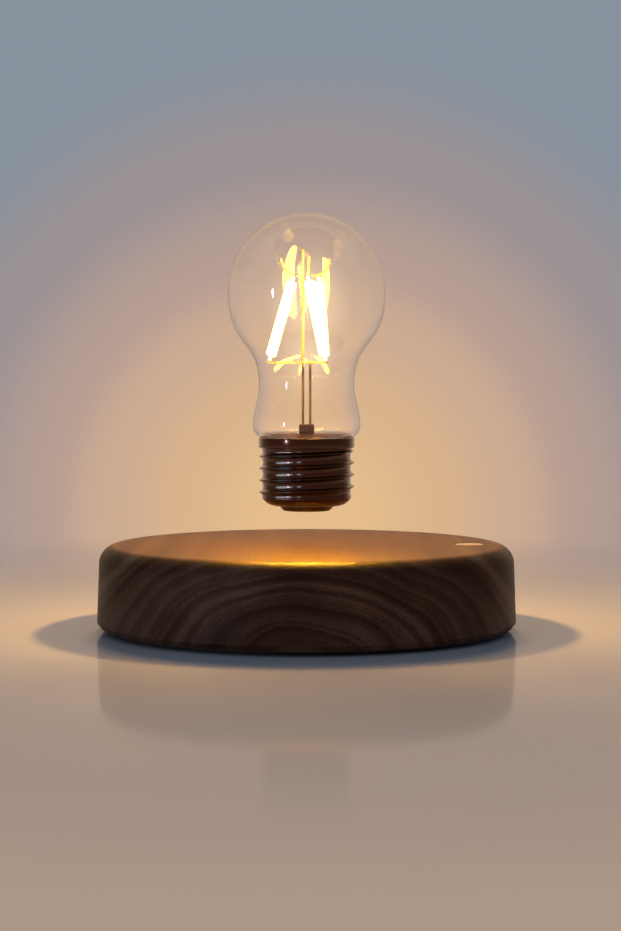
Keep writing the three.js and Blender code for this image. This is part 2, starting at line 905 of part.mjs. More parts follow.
// The blown glass: a neck inside the cap, a flare over the collar, a waist and a
// globe, with an even wall and an open neck.
function glassOutline() {
  const flareCentre = shoulder + flareHeight;
  const outside = [
    [neckRadius, neckBottom],
    ...arc(shoulderRadius, shoulder - neckFillet, neckFillet, neckFillet, Math.PI, Math.PI / 2, 3),
    ...arc(
      shoulderRadius, flareCentre, flareRadius - shoulderRadius, flareHeight, -Math.PI / 2, 0, 4,
    ).slice(1),
    ...bend([flareRadius, flareCentre], flarePull, waistPullDown, [waistRadius, waist], 4).slice(1),
    ...bend([waistRadius, waist], waistPullUp, globePull, [globeRadius, globeCentre], 6).slice(1),
    ...arc(0, globeCentre, globeRadius, globeRadius, 0, Math.PI / 2, 6).slice(1),
  ];
  const top = outside.length - 1;
  outside[top][0] = 0;
  const inside = inset(outside, glassWall);
  inside[0] = [neckRadius - glassWall, neckBottom];
  inside[top] = [0, globeCentre + globeRadius - glassWall];
  return [...inside.reverse(), ...outside];
}

function stemPlate() {
  return cut(
    disc(stemPlateRadius, stemPlateBottom, stemPlateTop, bulbSides),
    ...rodHoles(stemPlateBottom, stemPlateTop),
  );
}

function rodHoles(bottom, top) {
  const hole = disc(rodRadius + seatGap, bottom - cutOverrun, top + cutOverrun, wireSides);
  return spread(hole, rodSpacing / 2, [0, Math.PI]);
}

function leadBlock() {
  const top = leadBlockBottom + leadBlockHeight;
  return cut(
    block(leadBlockWidth, leadBlockDepth, leadBlockBottom, top),
    ...rodHoles(leadBlockBottom, top),
  );
}

function leadRod(side, top) {
  const rod = disc(rodRadius, rectifierTop + seatGap, top, wireSides);
  return rod.translate((side * rodSpacing) / 2, 0, 0);
}

// The lower star: a hub on the right rod, clear of the left one, with three flat arms.
function lowerStar() {
  const hub = disc(starHubRadius, starBottom, starTop);
  const arm = block(starRadius, starArmWidth, starBottom, starTop).translate(starRadius / 2, 0, 0);
  const arms = evenAngles(filamentCount, starTurn).map((angle) => arm.clone().rotateZ(angle));
  const hole = (gap) =>
    disc(rodRadius + gap, starBottom - cutOverrun, starTop + cutOverrun, wireSides);
  return cut(
    join(hub, ...arms),
    hole(seatGap).translate(rodSpacing / 2, 0, 0),
    hole(starRodGap).translate(-rodSpacing / 2, 0, 0),
  );
}

// The upper crown: a hub on the left rod with three wires that bend up into horns.
function hornCurve(angle) {
  const middle = crownBottom + crownThickness / 2;
  return new THREE.QuadraticBezierCurve3(
    onCircle(crownHubRadius - crownWireLap, angle, middle),
    onCircle(crownHornRadius - crownHornLean, angle, middle),
    onCircle(crownHornRadius, angle, middle + crownHornHeight),
  );
}

function upperCrown() {
  const hub = disc(crownHubRadius, crownBottom, crownTop);
  const horns = crownAngles().map((angle) => wire(hornCurve(angle), crownWireRadius, 6, 6));
  const hole = disc(rodRadius + seatGap, crownBottom - cutOverrun, crownTop + cutOverrun, wireSides);
  return cut(join(hub, ...horns), hole.translate(-rodSpacing / 2, 0, 0));
}

function crownAngles() {
  return evenAngles(filamentCount, starTurn + crownTurn);
}

// Each filament leans in from a star arm to the crown wire above it: a coated rod
// with a thin metal pin at each end.
function filament(index) {
  const lowAngle = evenAngles(filamentCount, starTurn)[index];
  const low = onCircle(starRadius - starArmWidth, lowAngle, starTop + seatGap + filamentTiltGap);
  const high = hornCurve(crownAngles()[index]).getPoint(crownSeatShare);
  high.z -= crownWireRadius + seatGap + filamentTiltGap;
  const along = new THREE.Vector3().subVectors(high, low).normalize();
  const coatStart = low.clone().addScaledVector(along, filamentPinLength);
  const coatEnd = high.clone().addScaledVector(along, -filamentPinLength);
  return join(
    bar(low, high, filamentPinRadius, wireSides),
    bar(coatStart, coatEnd, filamentRadius),
  );
}

function makeCap(group) {
  place(group, "cap_end_disc", endDisc(), "blackNickel");
  place(group, "cap_shell", capShell(), "blackNickel");
  place(group, "cap_collar", capCollar(), "blackNickel");
  place(
    group,
    "receiving_coil",
    ring(
      receivingCoilInner,
      receivingCoilOuter,
      receivingCoilBottom,
      receivingCoilBottom + receivingCoilThickness,
      bulbSides,
    ),
    "copper",
  );
  place(
    group,
    "ferrite_sheet",
    disc(magnetRadius, ferriteBottom, ferriteBottom + ferriteThickness, bulbSides),
    "ferrite",
  );
  place(group, "levitation_magnet", levitationMagnet(), "magnet");
  place(group, "rectifier_board", rectifierBoard(), "board");
  place(
    group,
    "cement_ring",
    ring(neckRadius + seatGap, capInnerRadius - seatGap, neckBottom + seatGap, capTop, bulbSides),
    "cement",
  );
}

function makeLight(group) {
  place(group, "bulb_glass", turned(glassOutline(), bulbSides), "glass");
  place(group, "stem_plate", stemPlate(), "copper");
  place(group, "lead_block", leadBlock(), "blackPlastic");
  place(group, "lead_rod_left", leadRod(-1, crownTop + crownRodReach), "steel");
  place(group, "lead_rod_right", leadRod(1, starTop + starThickness), "steel");
  place(group, "lower_star", lowerStar(), "steel");
  place(group, "upper_crown", upperCrown(), "steel");
  for (let i = 0; i < filamentCount; i++) {
    place(group, `filament_${i + 1}`, filament(i), "filament");
  }
}

function makeBulb() {
  const group = new THREE.Group();
  group.position.z = baseTopHeight + levitationGap;
  makeCap(group);
  makeLight(group);
  return group;
}

const lamp = new THREE.Group();
lamp.add(makeBase(), makeBulb());

export default lamp;
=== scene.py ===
import json
import math

import bmesh
import bpy
from mathutils import Matrix, Vector
from mathutils.geometry import interpolate_bezier

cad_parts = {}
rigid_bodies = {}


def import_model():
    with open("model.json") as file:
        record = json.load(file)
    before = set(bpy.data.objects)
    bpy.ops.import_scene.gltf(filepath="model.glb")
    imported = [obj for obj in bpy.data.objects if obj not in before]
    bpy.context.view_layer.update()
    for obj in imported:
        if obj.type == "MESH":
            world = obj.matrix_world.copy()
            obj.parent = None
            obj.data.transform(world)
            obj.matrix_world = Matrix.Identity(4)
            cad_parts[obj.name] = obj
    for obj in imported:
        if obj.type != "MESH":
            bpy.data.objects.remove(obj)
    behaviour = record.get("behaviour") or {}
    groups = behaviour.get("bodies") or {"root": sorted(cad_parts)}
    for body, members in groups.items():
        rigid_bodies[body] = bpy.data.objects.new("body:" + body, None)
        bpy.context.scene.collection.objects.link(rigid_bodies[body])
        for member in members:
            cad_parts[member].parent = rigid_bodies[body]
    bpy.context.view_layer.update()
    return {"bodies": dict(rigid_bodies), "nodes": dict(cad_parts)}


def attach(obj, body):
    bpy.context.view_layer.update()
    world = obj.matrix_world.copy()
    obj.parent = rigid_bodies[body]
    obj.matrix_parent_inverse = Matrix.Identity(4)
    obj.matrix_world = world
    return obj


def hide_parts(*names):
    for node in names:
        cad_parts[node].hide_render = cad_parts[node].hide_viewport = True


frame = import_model()

# Camera. The picture was taken from a little above the cap's height, looking
# slightly down, with the lamp close to the middle of the frame.
MM = 0.001
CAMERA_PLACE = (1.4, -784, 97.9)
CAMERA_DIP = 2.84
FOCAL_LENGTH = 84.7

camera = bpy.data.objects.new("camera", bpy.data.cameras.new("camera"))
camera.data.sensor_width = 36
camera.data.lens = FOCAL_LENGTH
camera.location = Vector(CAMERA_PLACE) * MM
camera.rotation_euler = (math.radians(90 - CAMERA_DIP), 0, 0)
bpy.context.scene.collection.objects.link(camera)
bpy.context.scene.camera = camera
bpy.context.scene.view_settings.view_transform = "Standard"

# Wooden base. Turned on a lathe from one block of walnut whose pith lies just under
# it, so the front shows arcs of end grain and the top long grain. It is hollowed from
# below, drilled for the touch pad and the power plug, and oiled.
BASE_STEPS = 192
BASE_RADIUS = 75
BASE_TOP_RADIUS = 73.97
BASE_BOTTOM = 1.8
BASE_TOP = 30.8
BASE_EDGE = 6
FOOT_CHAMFER = (1.4, 1.8)
CAVITY_RADIUS = 65
CAVITY_TOP = 26
REBATE_RADIUS = 72.3
REBATE_TOP = 3.5
TOUCH_PLACE = 58.5
TOUCH_HOLE = 5.3
PLUG_HOLE = 5.5
PLUG_HEIGHT = 14.2
COVER_SCREW_CIRCLE = 68.3
SCREW_HOLE = 1.7
PITH = (-1, -4)
RING_FLATNESS = 0.62
RING_SPACING = 3.6


def turned(outline, steps, closed=False):
    """An outline of (radius, height) in millimetres, turned round the lamp's axis."""
    form = bmesh.new()
    points = [form.verts.new((radius * MM, 0, height * MM)) for radius, height in outline]
    following = points[1:] + points[:1] if closed else points[1:]
    edges = [form.edges.new(pair) for pair in zip(points, following)]
    bmesh.ops.spin(
        form,
        geom=points + edges,
        cent=(0, 0, 0),
        axis=(0, 0, 1),
        angle=math.tau,
        steps=steps,
        use_merge=True,
    )
    bmesh.ops.remove_doubles(form, verts=form.verts, dist=0.001 * MM)
    bmesh.ops.recalc_face_normals(form, faces=form.faces)
    return form


def round_over(form, width, segments, *circles):
    """Rounds the edges of a turned form that lie on circles of (radius, height)."""
    def on_circle(edge, radius, height):
        return all(
            math.isclose(vert.co.xy.length, radius * MM, abs_tol=0.002 * MM)
            and math.isclose(vert.co.z, height * MM, abs_tol=0.002 * MM)
            for vert in edge.verts
        )

    bmesh.ops.bevel(
        form,
        geom=[e for e in form.edges if any(on_circle(e, *circle) for circle in circles)],
        offset=width * MM,
        offset_type="OFFSET",
        affect="EDGES",
        segments=segments,
        profile=0.5,
        material=-1,
    )


def moved(form, x=0, y=0, z=0):
    """The form, moved by that many millimetres."""
    bmesh.ops.translate(form, verts=form.verts, vec=Vector((x, y, z)) * MM)
    return form


def leaned(form, angle, axis):
    """The form, turned about an axis through the origin by that many degrees."""
    turn = Matrix.Rotation(math.radians(angle), 3, axis)
    bmesh.ops.rotate(form, verts=form.verts, cent=(0, 0, 0), matrix=turn)
    return form


def around(make, radius, angles):
    """Copies of a small form on a circle about the axis, as one form."""
    ring = bmesh.new()
    for angle in angles:
        one = leaned(moved(make(), x=radius), angle, "Z")
        mesh = bpy.data.meshes.new("one")
        one.to_mesh(mesh)
        one.free()
        ring.from_mesh(mesh)
        bpy.data.meshes.remove(mesh)
    return ring


def new_piece(name, form, material, crease=35):
    """A form as a piece with its material, smooth except at edges sharper than crease."""
    mesh = bpy.data.meshes.new(name)
    form.to_mesh(mesh)
    form.free()
    mesh.shade_smooth()
    mesh.set_sharp_from_angle(angle=math.radians(crease))
    mesh.materials.append(material)
    piece = bpy.data.objects.new(name, mesh)
    bpy.context.scene.collection.objects.link(piece)
    return piece


def carve(piece, tool_forms, operation="DIFFERENCE", crease=35):
    """Cuts the tool forms out of the piece, or joins them to it, for good."""
    tools = []
    for form in tool_forms:
        tools.append(new_piece("tool", form, piece.data.materials[0]))
        cut = piece.modifiers.new("cut", "BOOLEAN")
        cut.operation = operation
        cut.solver = "EXACT"
        cut.object = tools[-1]
    shaped = piece.evaluated_get(bpy.context.evaluated_depsgraph_get())
    mesh = bpy.data.meshes.new_from_object(shaped)
    piece.modifiers.clear()
    piece.data = mesh
    mesh.name = piece.name
    mesh.shade_smooth()
    mesh.set_sharp_from_angle(angle=math.radians(crease))
    for tool in tools:
        bpy.data.objects.remove(tool)


def linear(code):
    """An sRGB hex colour as linear red, green, blue and alpha."""
    parts = [int(code[i : i + 2], 16) / 255 for i in (1, 3, 5)]
    return [p / 12.92 if p <= 0.04045 else ((p + 0.055) / 1.055) ** 2.4 for p in parts] + [1]


def fill(node, inputs):
    """Sets a node's inputs by name, or links those whose value is another node's output."""
    for name, value in inputs.items():
        if isinstance(value, bpy.types.NodeSocket):
            node.id_data.links.new(value, node.inputs[name])
        else:
            node.inputs[name].default_value = value
    return node


def add_node(owner, kind, inputs, **settings):
    """Adds a node to a material or world, with its settings, values and links."""
    node = owner.node_tree.nodes.new("ShaderNode" + kind)
    for name, value in settings.items():
        setattr(node, name, value)
    return fill(node, inputs)


def new_material(name, inputs):
    """A material with one Principled surface, and the coordinates of a piece in millimetres."""
    material = bpy.data.materials.new(name)
    material.use_nodes = True
    fill(material.node_tree.nodes["Principled BSDF"], inputs)
    place = add_node(material, "TexCoord", {})
    in_mm = add_node(
        material, "Mapping", {"Vector": place.outputs["Object"], "Scale": (1000, 1000, 1000)}
    )
    return material, in_mm.outputs[0]


# Walnut under a thin coat of oil: brown early wood and darker late wood in rings, fine
# fibres, and short open pores. Faces that turn away from straight up get a much darker
# ramp: partly end grain, which drinks more oil, and partly painted shade for the sides.
walnut = bpy.data.materials.new("oiled_walnut")
walnut.use_nodes = True
place = add_node(walnut, "TexCoord", {})
wood_mm = add_node(
    walnut,
    "Mapping",
    {
        "Vector": place.outputs["Object"],
        "Location": (-PITH[0], 0, -PITH[1]),
        "Scale": (1000, 1000, 1000),
    },
)
along_trunk = add_node(
    walnut, "VectorMath", {0: wood_mm.outputs[0], 1: (1, 0.12, 1)}, operation="MULTIPLY"
)
sway = add_node(
    walnut, "TexNoise", {"Vector": along_trunk.outputs[0], "Scale": 1 / 38, "Detail": 1.5}
)
sway_middle = add_node(
    walnut, "VectorMath", {0: sway.outputs["Color"], 1: (0.5, 0.5, 0.5)}, operation="SUBTRACT"
)
swayed = add_node(
    walnut,
    "VectorMath",
    {0: sway_middle.outputs[0], 1: (9, 0, 9), 2: wood_mm.outputs[0]},
    operation="MULTIPLY_ADD",
)
across = add_node(
    walnut,
    "VectorMath",
    {0: swayed.outputs[0], 1: (RING_FLATNESS, 0, 1)},
    operation="MULTIPLY",
)
from_pith = add_node(walnut, "VectorMath", {0: across.outputs[0]}, operation="LENGTH")
years = add_node(
    walnut,
    "TexNoise",
    {"W": from_pith.outputs["Value"], "Scale": 1 / RING_SPACING, "Detail": 4, "Roughness": 0.5},
    noise_dimensions="1D",
)
fibre_mm = add_node(
    walnut, "VectorMath", {0: swayed.outputs[0], 1: (1, 0.03, 1)}, operation="MULTIPLY"
)
fibres = add_node(
    walnut,
    "TexNoise",
    {"Vector": fibre_mm.outputs[0], "Scale": 1 / 0.8, "Detail": 4, "Roughness": 0.65},
)
pore_mm = add_node(
    walnut, "VectorMath", {0: swayed.outputs[0], 1: (1, 0.08, 1)}, operation="MULTIPLY"
)
pores = add_node(
    walnut, "TexNoise", {"Vector": pore_mm.outputs[0], "Scale": 1 / 0.4, "Detail": 1}
)
open_pores = add_node(
    walnut, "MapRange", {"Value": pores.outputs["Fac"], "From Min": 0.62, "From Max": 0.78}
)
clouds = add_node(
    walnut, "TexNoise", {"Vector": along_trunk.outputs[0], "Scale": 1 / 22, "Detail": 3}
)
shade = add_node(
    walnut, "MixRGB", {"Fac": 0.28, "Color1": years.outputs["Fac"], "Color2": fibres.outputs["Fac"]}
)
shade_clouds = add_node(
    walnut, "MixRGB", {"Fac": 0.3, "Color1": shade.outputs[0], "Color2": clouds.outputs["Fac"]}
)
long_grain = add_node(walnut, "ValToRGB", {"Fac": shade_clouds.outputs[0]})
# The second ramp is the dark colour of the sides: end grain and painted shade together.
end_grain_and_side_shade = add_node(walnut, "ValToRGB", {"Fac": shade_clouds.outputs[0]})
for ramp, dark, middle, light in (
    (long_grain, "#644427", "#6e4c2c", "#775534"),
    (end_grain_and_side_shade, "#2a1a11", "#3d2b20", "#524134"),
):
    ramp.color_ramp.elements[0].position = 0.4
    ramp.color_ramp.elements[0].color = linear(dark)
    ramp.color_ramp.elements[1].position = 0.6
    ramp.color_ramp.elements[1].color = linear(light)
    ramp.color_ramp.elements.new(0.5).color = linear(middle)
# Painted shade: the colour fades to the dark ramp as a face turns away from straight up.
facing = add_node(walnut, "SeparateXYZ", {"Vector": place.outputs["Normal"]})
shaded_side = add_node(
    walnut,
    "MapRange",
    {"Value": facing.outputs["Z"], "From Min": 0.995, "From Max": 0.88},
    interpolation_type="SMOOTHSTEP",
)
browns_and_side_shade = add_node(
    walnut,
    "MixRGB",
    {"Fac": shaded_side.outputs[0], "Color1": long_grain.outputs[0], "Color2": end_grain_and_side_shade.outputs[0]},
)
pored = add_node(
    walnut,
    "MixRGB",
    {"Fac": open_pores.outputs[0], "Color1": browns_and_side_shade.outputs[0], "Color2": linear("#2b1a10")},
)
wood_gloss = add_node(
    walnut, "MapRange", {"Value": shaded_side.outputs[0], "To Min": 0.42, "To Max": 0.45}
)
wood_height = add_node(
    walnut,
    "Math",
    {0: open_pores.outputs[0], 1: -1.5, 2: fibres.outputs["Fac"]},
    operation="MULTIPLY_ADD",
)
wood_bump = add_node(
    walnut, "Bump", {"Height": wood_height.outputs[0], "Strength": 0.3, "Distance": 0.05 * MM}
)
fill(
    walnut.node_tree.nodes["Principled BSDF"],
    {
        "Base Color": pored.outputs[0],
        "Roughness": wood_gloss.outputs[0],
        "Specular IOR Level": 0.1,
        "Normal": wood_bump.outputs[0],
    },
)

base_form = turned(
    [
        (0, BASE_TOP),
        (BASE_TOP_RADIUS, BASE_TOP),
        (BASE_RADIUS, BASE_BOTTOM + FOOT_CHAMFER[1]),
        (BASE_RADIUS - FOOT_CHAMFER[0], BASE_BOTTOM),
        (REBATE_RADIUS, BASE_BOTTOM),
        (REBATE_RADIUS, REBATE_TOP),
        (CAVITY_RADIUS, REBATE_TOP),
        (CAVITY_RADIUS, CAVITY_TOP),
        (0, CAVITY_TOP),
    ],
    BASE_STEPS,
)
round_over(base_form, BASE_EDGE, 12, (BASE_TOP_RADIUS, BASE_TOP))
wooden_base = new_piece("wooden_base", base_form, walnut)
carve(
    wooden_base,
    [
        moved(
            turned([(0, 20), (5.3, 20), (5.3, 30.5), (5.7, 30.9), (5.7, 32), (0, 32)], 64), x=TOUCH_PLACE
        ),
        moved(
            leaned(turned([(0, 60), (PLUG_HOLE, 60), (PLUG_HOLE, 74.5), (6.4, 75.4), (6.4, 80), (0, 80)], 64), -90, "X"),
            z=PLUG_HEIGHT,
        ),
        around(
            lambda: turned([(0, 2), (SCREW_HOLE, 2), (SCREW_HOLE, 9.25), (0, 9.25)], 16),
            COVER_SCREW_CIRCLE,
            (45, 135, 225, 315),
        ),
    ],
)
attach(wooden_base, "base")
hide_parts("base_shell")

# Bottom cover. Moulded from black ABS, with a fine spark-eroded texture, recesses for
# the rubber feet and the screw heads, and four standoffs that carry the control board.
COVER_RADIUS = 72
COVER_BOTTOM = 0.8
COVER_TOP = 3.2
STANDOFF_TOP = 7
CARRIER_SCREW_CIRCLE = 48
FOOT_CIRCLE = 60

abs_plastic, abs_mm = new_material("moulded_abs", {"Base Color": linear("#1b1b1d"), "Roughness": 0.5})
abs_grit = add_node(abs_plastic, "TexNoise", {"Vector": abs_mm, "Scale": 1 / 0.35, "Detail": 2})
abs_bump = add_node(
    abs_plastic, "Bump", {"Height": abs_grit.outputs["Fac"], "Strength": 0.3, "Distance": 0.04 * MM}
)
abs_gloss = add_node(
    abs_plastic, "MapRange", {"Value": abs_grit.outputs["Fac"], "To Min": 0.42, "To Max": 0.62}
)
fill(
    abs_plastic.node_tree.nodes["Principled BSDF"],
    {"Normal": abs_bump.outputs[0], "Roughness": abs_gloss.outputs[0]},
)

cover_form = turned(
    [(0, COVER_TOP), (COVER_RADIUS, COVER_TOP), (COVER_RADIUS, COVER_BOTTOM), (0, COVER_BOTTOM)],
    BASE_STEPS,
)
round_over(cover_form, 0.4, 3, (COVER_RADIUS, COVER_BOTTOM))
bottom_cover = new_piece("bottom_cover", cover_form, abs_plastic)
diagonals = (45, 135, 225, 315)
quarters = (0, 90, 180, 270)
carve(
    bottom_cover,
    [around(lambda: turned([(0, 2), (3, 2), (3, STANDOFF_TOP), (0, STANDOFF_TOP)], 32), CARRIER_SCREW_CIRCLE, diagonals)],
    "UNION",
)
carve(
    bottom_cover,
    [
        around(lambda: turned([(0, 0), (3.4, 0), (3.1, 1.1), (3.1, 2.45), (1.7, 2.45), (1.7, 8), (0, 8)], 32), radius, diagonals)
        for radius in (COVER_SCREW_CIRCLE, CARRIER_SCREW_CIRCLE)
    ]
    + [around(lambda: turned([(0, 0), (6.3, 0), (6.3, 1.3), (0, 1.3)], 48), FOOT_CIRCLE, quarters)],
)
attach(bottom_cover, "base")
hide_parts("bottom_cover")

# Rubber feet. Die-cut and pressed from soft black rubber with a rounded rim, and glued
# into their recesses in the cover.
rubber, rubber_mm = new_material("pressed_rubber", {"Base Color": linear("#121213"), "Roughness": 0.85})
rubber_grain = add_node(rubber, "TexNoise", {"Vector": rubber_mm, "Scale": 1 / 0.25, "Detail": 3})
rubber_bump = add_node(
    rubber, "Bump", {"Height": rubber_grain.outputs["Fac"], "Strength": 0.4, "Distance": 0.03 * MM}
)
fill(rubber.node_tree.nodes["Principled BSDF"], {"Normal": rubber_bump.outputs[0]})
for number, angle in enumerate(quarters, 1):
    foot_form = turned([(0, 0), (6, 0), (6, 1), (0, 1)], 64)
    round_over(foot_form, 0.3, 4, (6, 0))
    foot = new_piece(f"rubber_foot_{number}", leaned(moved(foot_form, x=FOOT_CIRCLE), angle, "Z"), rubber)
    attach(foot, "base")
    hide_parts(f"foot_{number}")

# Screws. Zinc-plated steel pan heads with a hex socket, turned and rolled. Four short
# ones hold the cover to the wood and four long ones clamp the board and the coils.
steel, steel_mm = new_material("plated_steel", {"Base Color": linear("#b4b6ba"), "Metallic": 1})
steel_lines = add_node(steel, "TexNoise", {"Vector": steel_mm, "Scale": 1 / 0.3, "Detail": 3})
steel_gloss = add_node(
    steel, "MapRange", {"Value": steel_lines.outputs["Fac"], "To Min": 0.22, "To Max": 0.42}
)
fill(steel.node_tree.nodes["Principled BSDF"], {"Roughness": steel_gloss.outputs[0]})
SCREW_BOTTOM = 0.95
for kind, length, circle in (("cover_screw", 8, COVER_SCREW_CIRCLE), ("carrier_screw", 16, CARRIER_SCREW_CIRCLE)):
    for number, angle in enumerate(diagonals, 1):
        screw_form = turned([(0, 0), (2.8, 0), (2.8, 1.2), (1.4, 1.2), (1.4, length - 0.6), (1, length), (0, length)], 32)
        round_over(screw_form, 0.45, 4, (2.8, 0))
        screw = new_piece(f"{kind}_{number}", screw_form, steel)
        carve(screw, [turned([(0, -1), (1.15, -1), (1.1, 0.7), (0, 0.9)], 6)])
        screw.data.transform(
            Matrix.Rotation(math.radians(angle), 4, "Z") @ Matrix.Translation((circle * MM, 0, SCREW_BOTTOM * MM))
        )
        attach(screw, "base")
        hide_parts(f"{kind}_{number}")

# Touch pad. Moulded from pale peach polycarbonate, lightly dished for a fingertip, with
# a flange under the wood that holds it flush with the top.
polycarbonate, pad_mm = new_material(
    "moulded_polycarbonate", {"Base Color": linear("#cfa582"), "Roughness": 0.35}
)
pad_grit = add_node(polycarbonate, "TexNoise", {"Vector": pad_mm, "Scale": 1 / 0.3, "Detail": 2})
pad_bump = add_node(
    polycarbonate, "Bump", {"Height": pad_grit.outputs["Fac"], "Strength": 0.2, "Distance": 0.02 * MM}
)
fill(polycarbonate.node_tree.nodes["Principled BSDF"], {"Normal": pad_bump.outputs[0]})
pad_form = turned(
    [(0, 24.7), (6, 24.7), (6, 25.7), (5, 25.7), (5, BASE_TOP), (3.6, BASE_TOP - 0.06), (2, BASE_TOP - 0.16), (0, BASE_TOP - 0.2)],
    64,
)
round_over(pad_form, 0.25, 4, (5, BASE_TOP))
touch_pad = new_piece("touch_pad", moved(pad_form, x=TOUCH_PLACE), polycarbonate)
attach(touch_pad, "base")
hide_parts("touch_switch")

# Power socket. A moulded block of black plastic with a round bore and a plated centre
# pin, soldered to the board's rear ear, level with the hole in the wood.
JACK_FACE = 64.54
jack_form = bmesh.new()
bmesh.ops.create_cube(jack_form, size=1)
bmesh.ops.scale(jack_form, vec=Vector((9, 14, 10)) * MM, verts=jack_form.verts)
bmesh.ops.bevel(
    jack_form,
    geom=list(jack_form.edges),
    offset=0.5 * MM,
    affect="EDGES",
    segments=3,
    profile=0.5,
    material=-1,
)
power_jack = new_piece("power_jack", moved(jack_form, y=JACK_FACE - 7, z=PLUG_HEIGHT), abs_plastic)
bore_form = turned([(0, 54.04), (3.1, 54.04), (3.1, 64.1), (3.6, 64.6), (3.6, 66), (0, 66)], 48)
pin_seat_form = turned([(0, 51.7), (1.35, 51.7), (1.35, 55), (0, 55)], 24)
carve(
    power_jack,
    [moved(leaned(bore_form, -90, "X"), z=PLUG_HEIGHT), moved(leaned(pin_seat_form, -90, "X"), z=PLUG_HEIGHT)],
)
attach(power_jack, "base")
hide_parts("dc_jack")

pin_form = turned([(0, 52.04), (1.05, 52.04), (1.05, 63.54), (0, 63.54)], 32)
round_over(pin_form, 0.7, 5, (1.05, 63.54))
jack_pin = new_piece("power_jack_pin", moved(leaned(pin_form, -90, "X"), z=PLUG_HEIGHT), steel)
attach(jack_pin, "base")
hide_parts("dc_jack_pin")

# Inside of the base. The board with its chip and capacitors, four steering coils, the
# ring magnet, their carrier and the flat sending coil keep their plain shapes, which the
# wood and the cover hide. Each gets the finish of its real kind.
glass_epoxy, board_mm = new_material("solder_masked_board", {"Base Color": linear("#1f5a3a"), "Roughness": 0.4})
board_weave = add_node(glass_epoxy, "TexNoise", {"Vector": board_mm, "Scale": 1 / 1.2, "Detail": 2})
board_tone = add_node(
    glass_epoxy,
    "MixRGB",
    {"Fac": board_weave.outputs["Fac"], "Color1": linear("#1a4f32"), "Color2": linear("#276b47")},
)
fill(glass_epoxy.node_tree.nodes["Principled BSDF"], {"Base Color": board_tone.outputs[0]})

chip_resin, chip_mm = new_material("moulded_chip_resin", {"Base Color": linear("#1b1b1d"), "Roughness": 0.55})
chip_grit = add_node(chip_resin, "TexNoise", {"Vector": chip_mm, "Scale": 1 / 0.15, "Detail": 2})
chip_bump = add_node(
    chip_resin, "Bump", {"Height": chip_grit.outputs["Fac"], "Strength": 0.3, "Distance": 0.02 * MM}
)
fill(chip_resin.node_tree.nodes["Principled BSDF"], {"Normal": chip_bump.outputs[0]})

copper, copper_mm = new_material("enamelled_copper", {"Base Color": linear("#b4683a"), "Metallic": 1})
wire_bands = add_node(
    copper, "TexWave", {"Vector": copper_mm, "Scale": 0.6, "Distortion": 0.5}, bands_direction="Z"
)
copper_bump = add_node(
    copper, "Bump", {"Height": wire_bands.outputs["Fac"], "Strength": 0.5, "Distance": 0.15 * MM}
)
copper_gloss = add_node(
    copper, "MapRange", {"Value": wire_bands.outputs["Fac"], "To Min": 0.25, "To Max": 0.45}
)
fill(
    copper.node_tree.nodes["Principled BSDF"],
    {"Roughness": copper_gloss.outputs[0], "Normal": copper_bump.outputs[0]},
)

ferrite, ferrite_mm = new_material("sintered_ferrite", {"Base Color": linear("#3a3a3d"), "Roughness": 0.7})
ferrite_grit = add_node(ferrite, "TexNoise", {"Vector": ferrite_mm, "Scale": 1 / 0.4, "Detail": 5})
ferrite_tone = add_node(
    ferrite,
    "MixRGB",
    {"Fac": ferrite_grit.outputs["Fac"], "Color1": linear("#303033"), "Color2": linear("#46464a")},
)
fill(ferrite.node_tree.nodes["Principled BSDF"], {"Base Color": ferrite_tone.outputs[0]})

hidden_in_base = {
    "control_board": glass_epoxy,
    "hall_board": glass_epoxy,
    "controller_chip": chip_resin,
    "magnet_ring": ferrite,
    "coil_carrier": abs_plastic,
    "sending_coil": copper,
    "touch_spring": steel,
}
for number in (1, 2, 3):
    hidden_in_base[f"smoothing_capacitor_{number}"] = abs_plastic
for number in (1, 2, 3, 4):
    hidden_in_base[f"coil_bobbin_{number}"] = abs_plastic
    hidden_in_base[f"coil_winding_{number}"] = copper
    hidden_in_base[f"coil_core_{number}"] = steel
for name, material in hidden_in_base.items():
    for material_slot in frame["nodes"][name].material_slots:
        material_slot.material = material

# Cap of the bulb. Drawn from thin brass, with a right-hand ridge rolled into it, plated
# in black nickel and lacquered: dark brown with sharp cool highlights, narrow crests and
# hollow roots.
CAP_STEPS = 168
CAP_BOTTOM = 44.7
CAP_TOP = 65.2
CAP_RADIUS = 16.05
CAP_WALL = 0.65
CAP_CORNER = (11.2, 50.2)
CAP_CORNER_RADIUS = 5.5
CAP_CORNER_TOP = 47.6
CAP_HOLE = 7.9
THREAD_PITCH = 4.29
THREAD_DEPTH = 1.1
THREAD_HALF_WIDTH = 0.5
ROOT_HOLLOW = 0.28
THREAD_CREST = 51.6
THREAD_RUNOUT = 1.3

black_nickel, nickel_mm = new_material(
    "lacquered_black_nickel",
    {
        "Base Color": linear("#4a2417"),
        "Metallic": 1,
        "Roughness": 0.2,
        "Coat Weight": 1,
        "Coat Roughness": 0.09,
    },
)
nickel_haze = add_node(black_nickel, "TexNoise", {"Vector": nickel_mm, "Scale": 1 / 3, "Detail": 4})
nickel_gloss = add_node(
    black_nickel, "MapRange", {"Value": nickel_haze.outputs["Fac"], "To Min": 0.16, "To Max": 0.28}
)
nickel_lines = add_node(
    black_nickel, "VectorMath", {0: nickel_mm, 1: (0.4, 0.4, 6)}, operation="MULTIPLY"
)
nickel_drawn = add_node(
    black_nickel, "TexNoise", {"Vector": nickel_lines.outputs[0], "Scale": 1, "Detail": 3}
)
nickel_bump = add_node(
    black_nickel, "Bump", {"Height": nickel_drawn.outputs["Fac"], "Strength": 0.08, "Distance": 0.02 * MM}
)
fill(
    black_nickel.node_tree.nodes["Principled BSDF"],
    {"Roughness": nickel_gloss.outputs[0], "Normal": nickel_bump.outputs[0]},
)


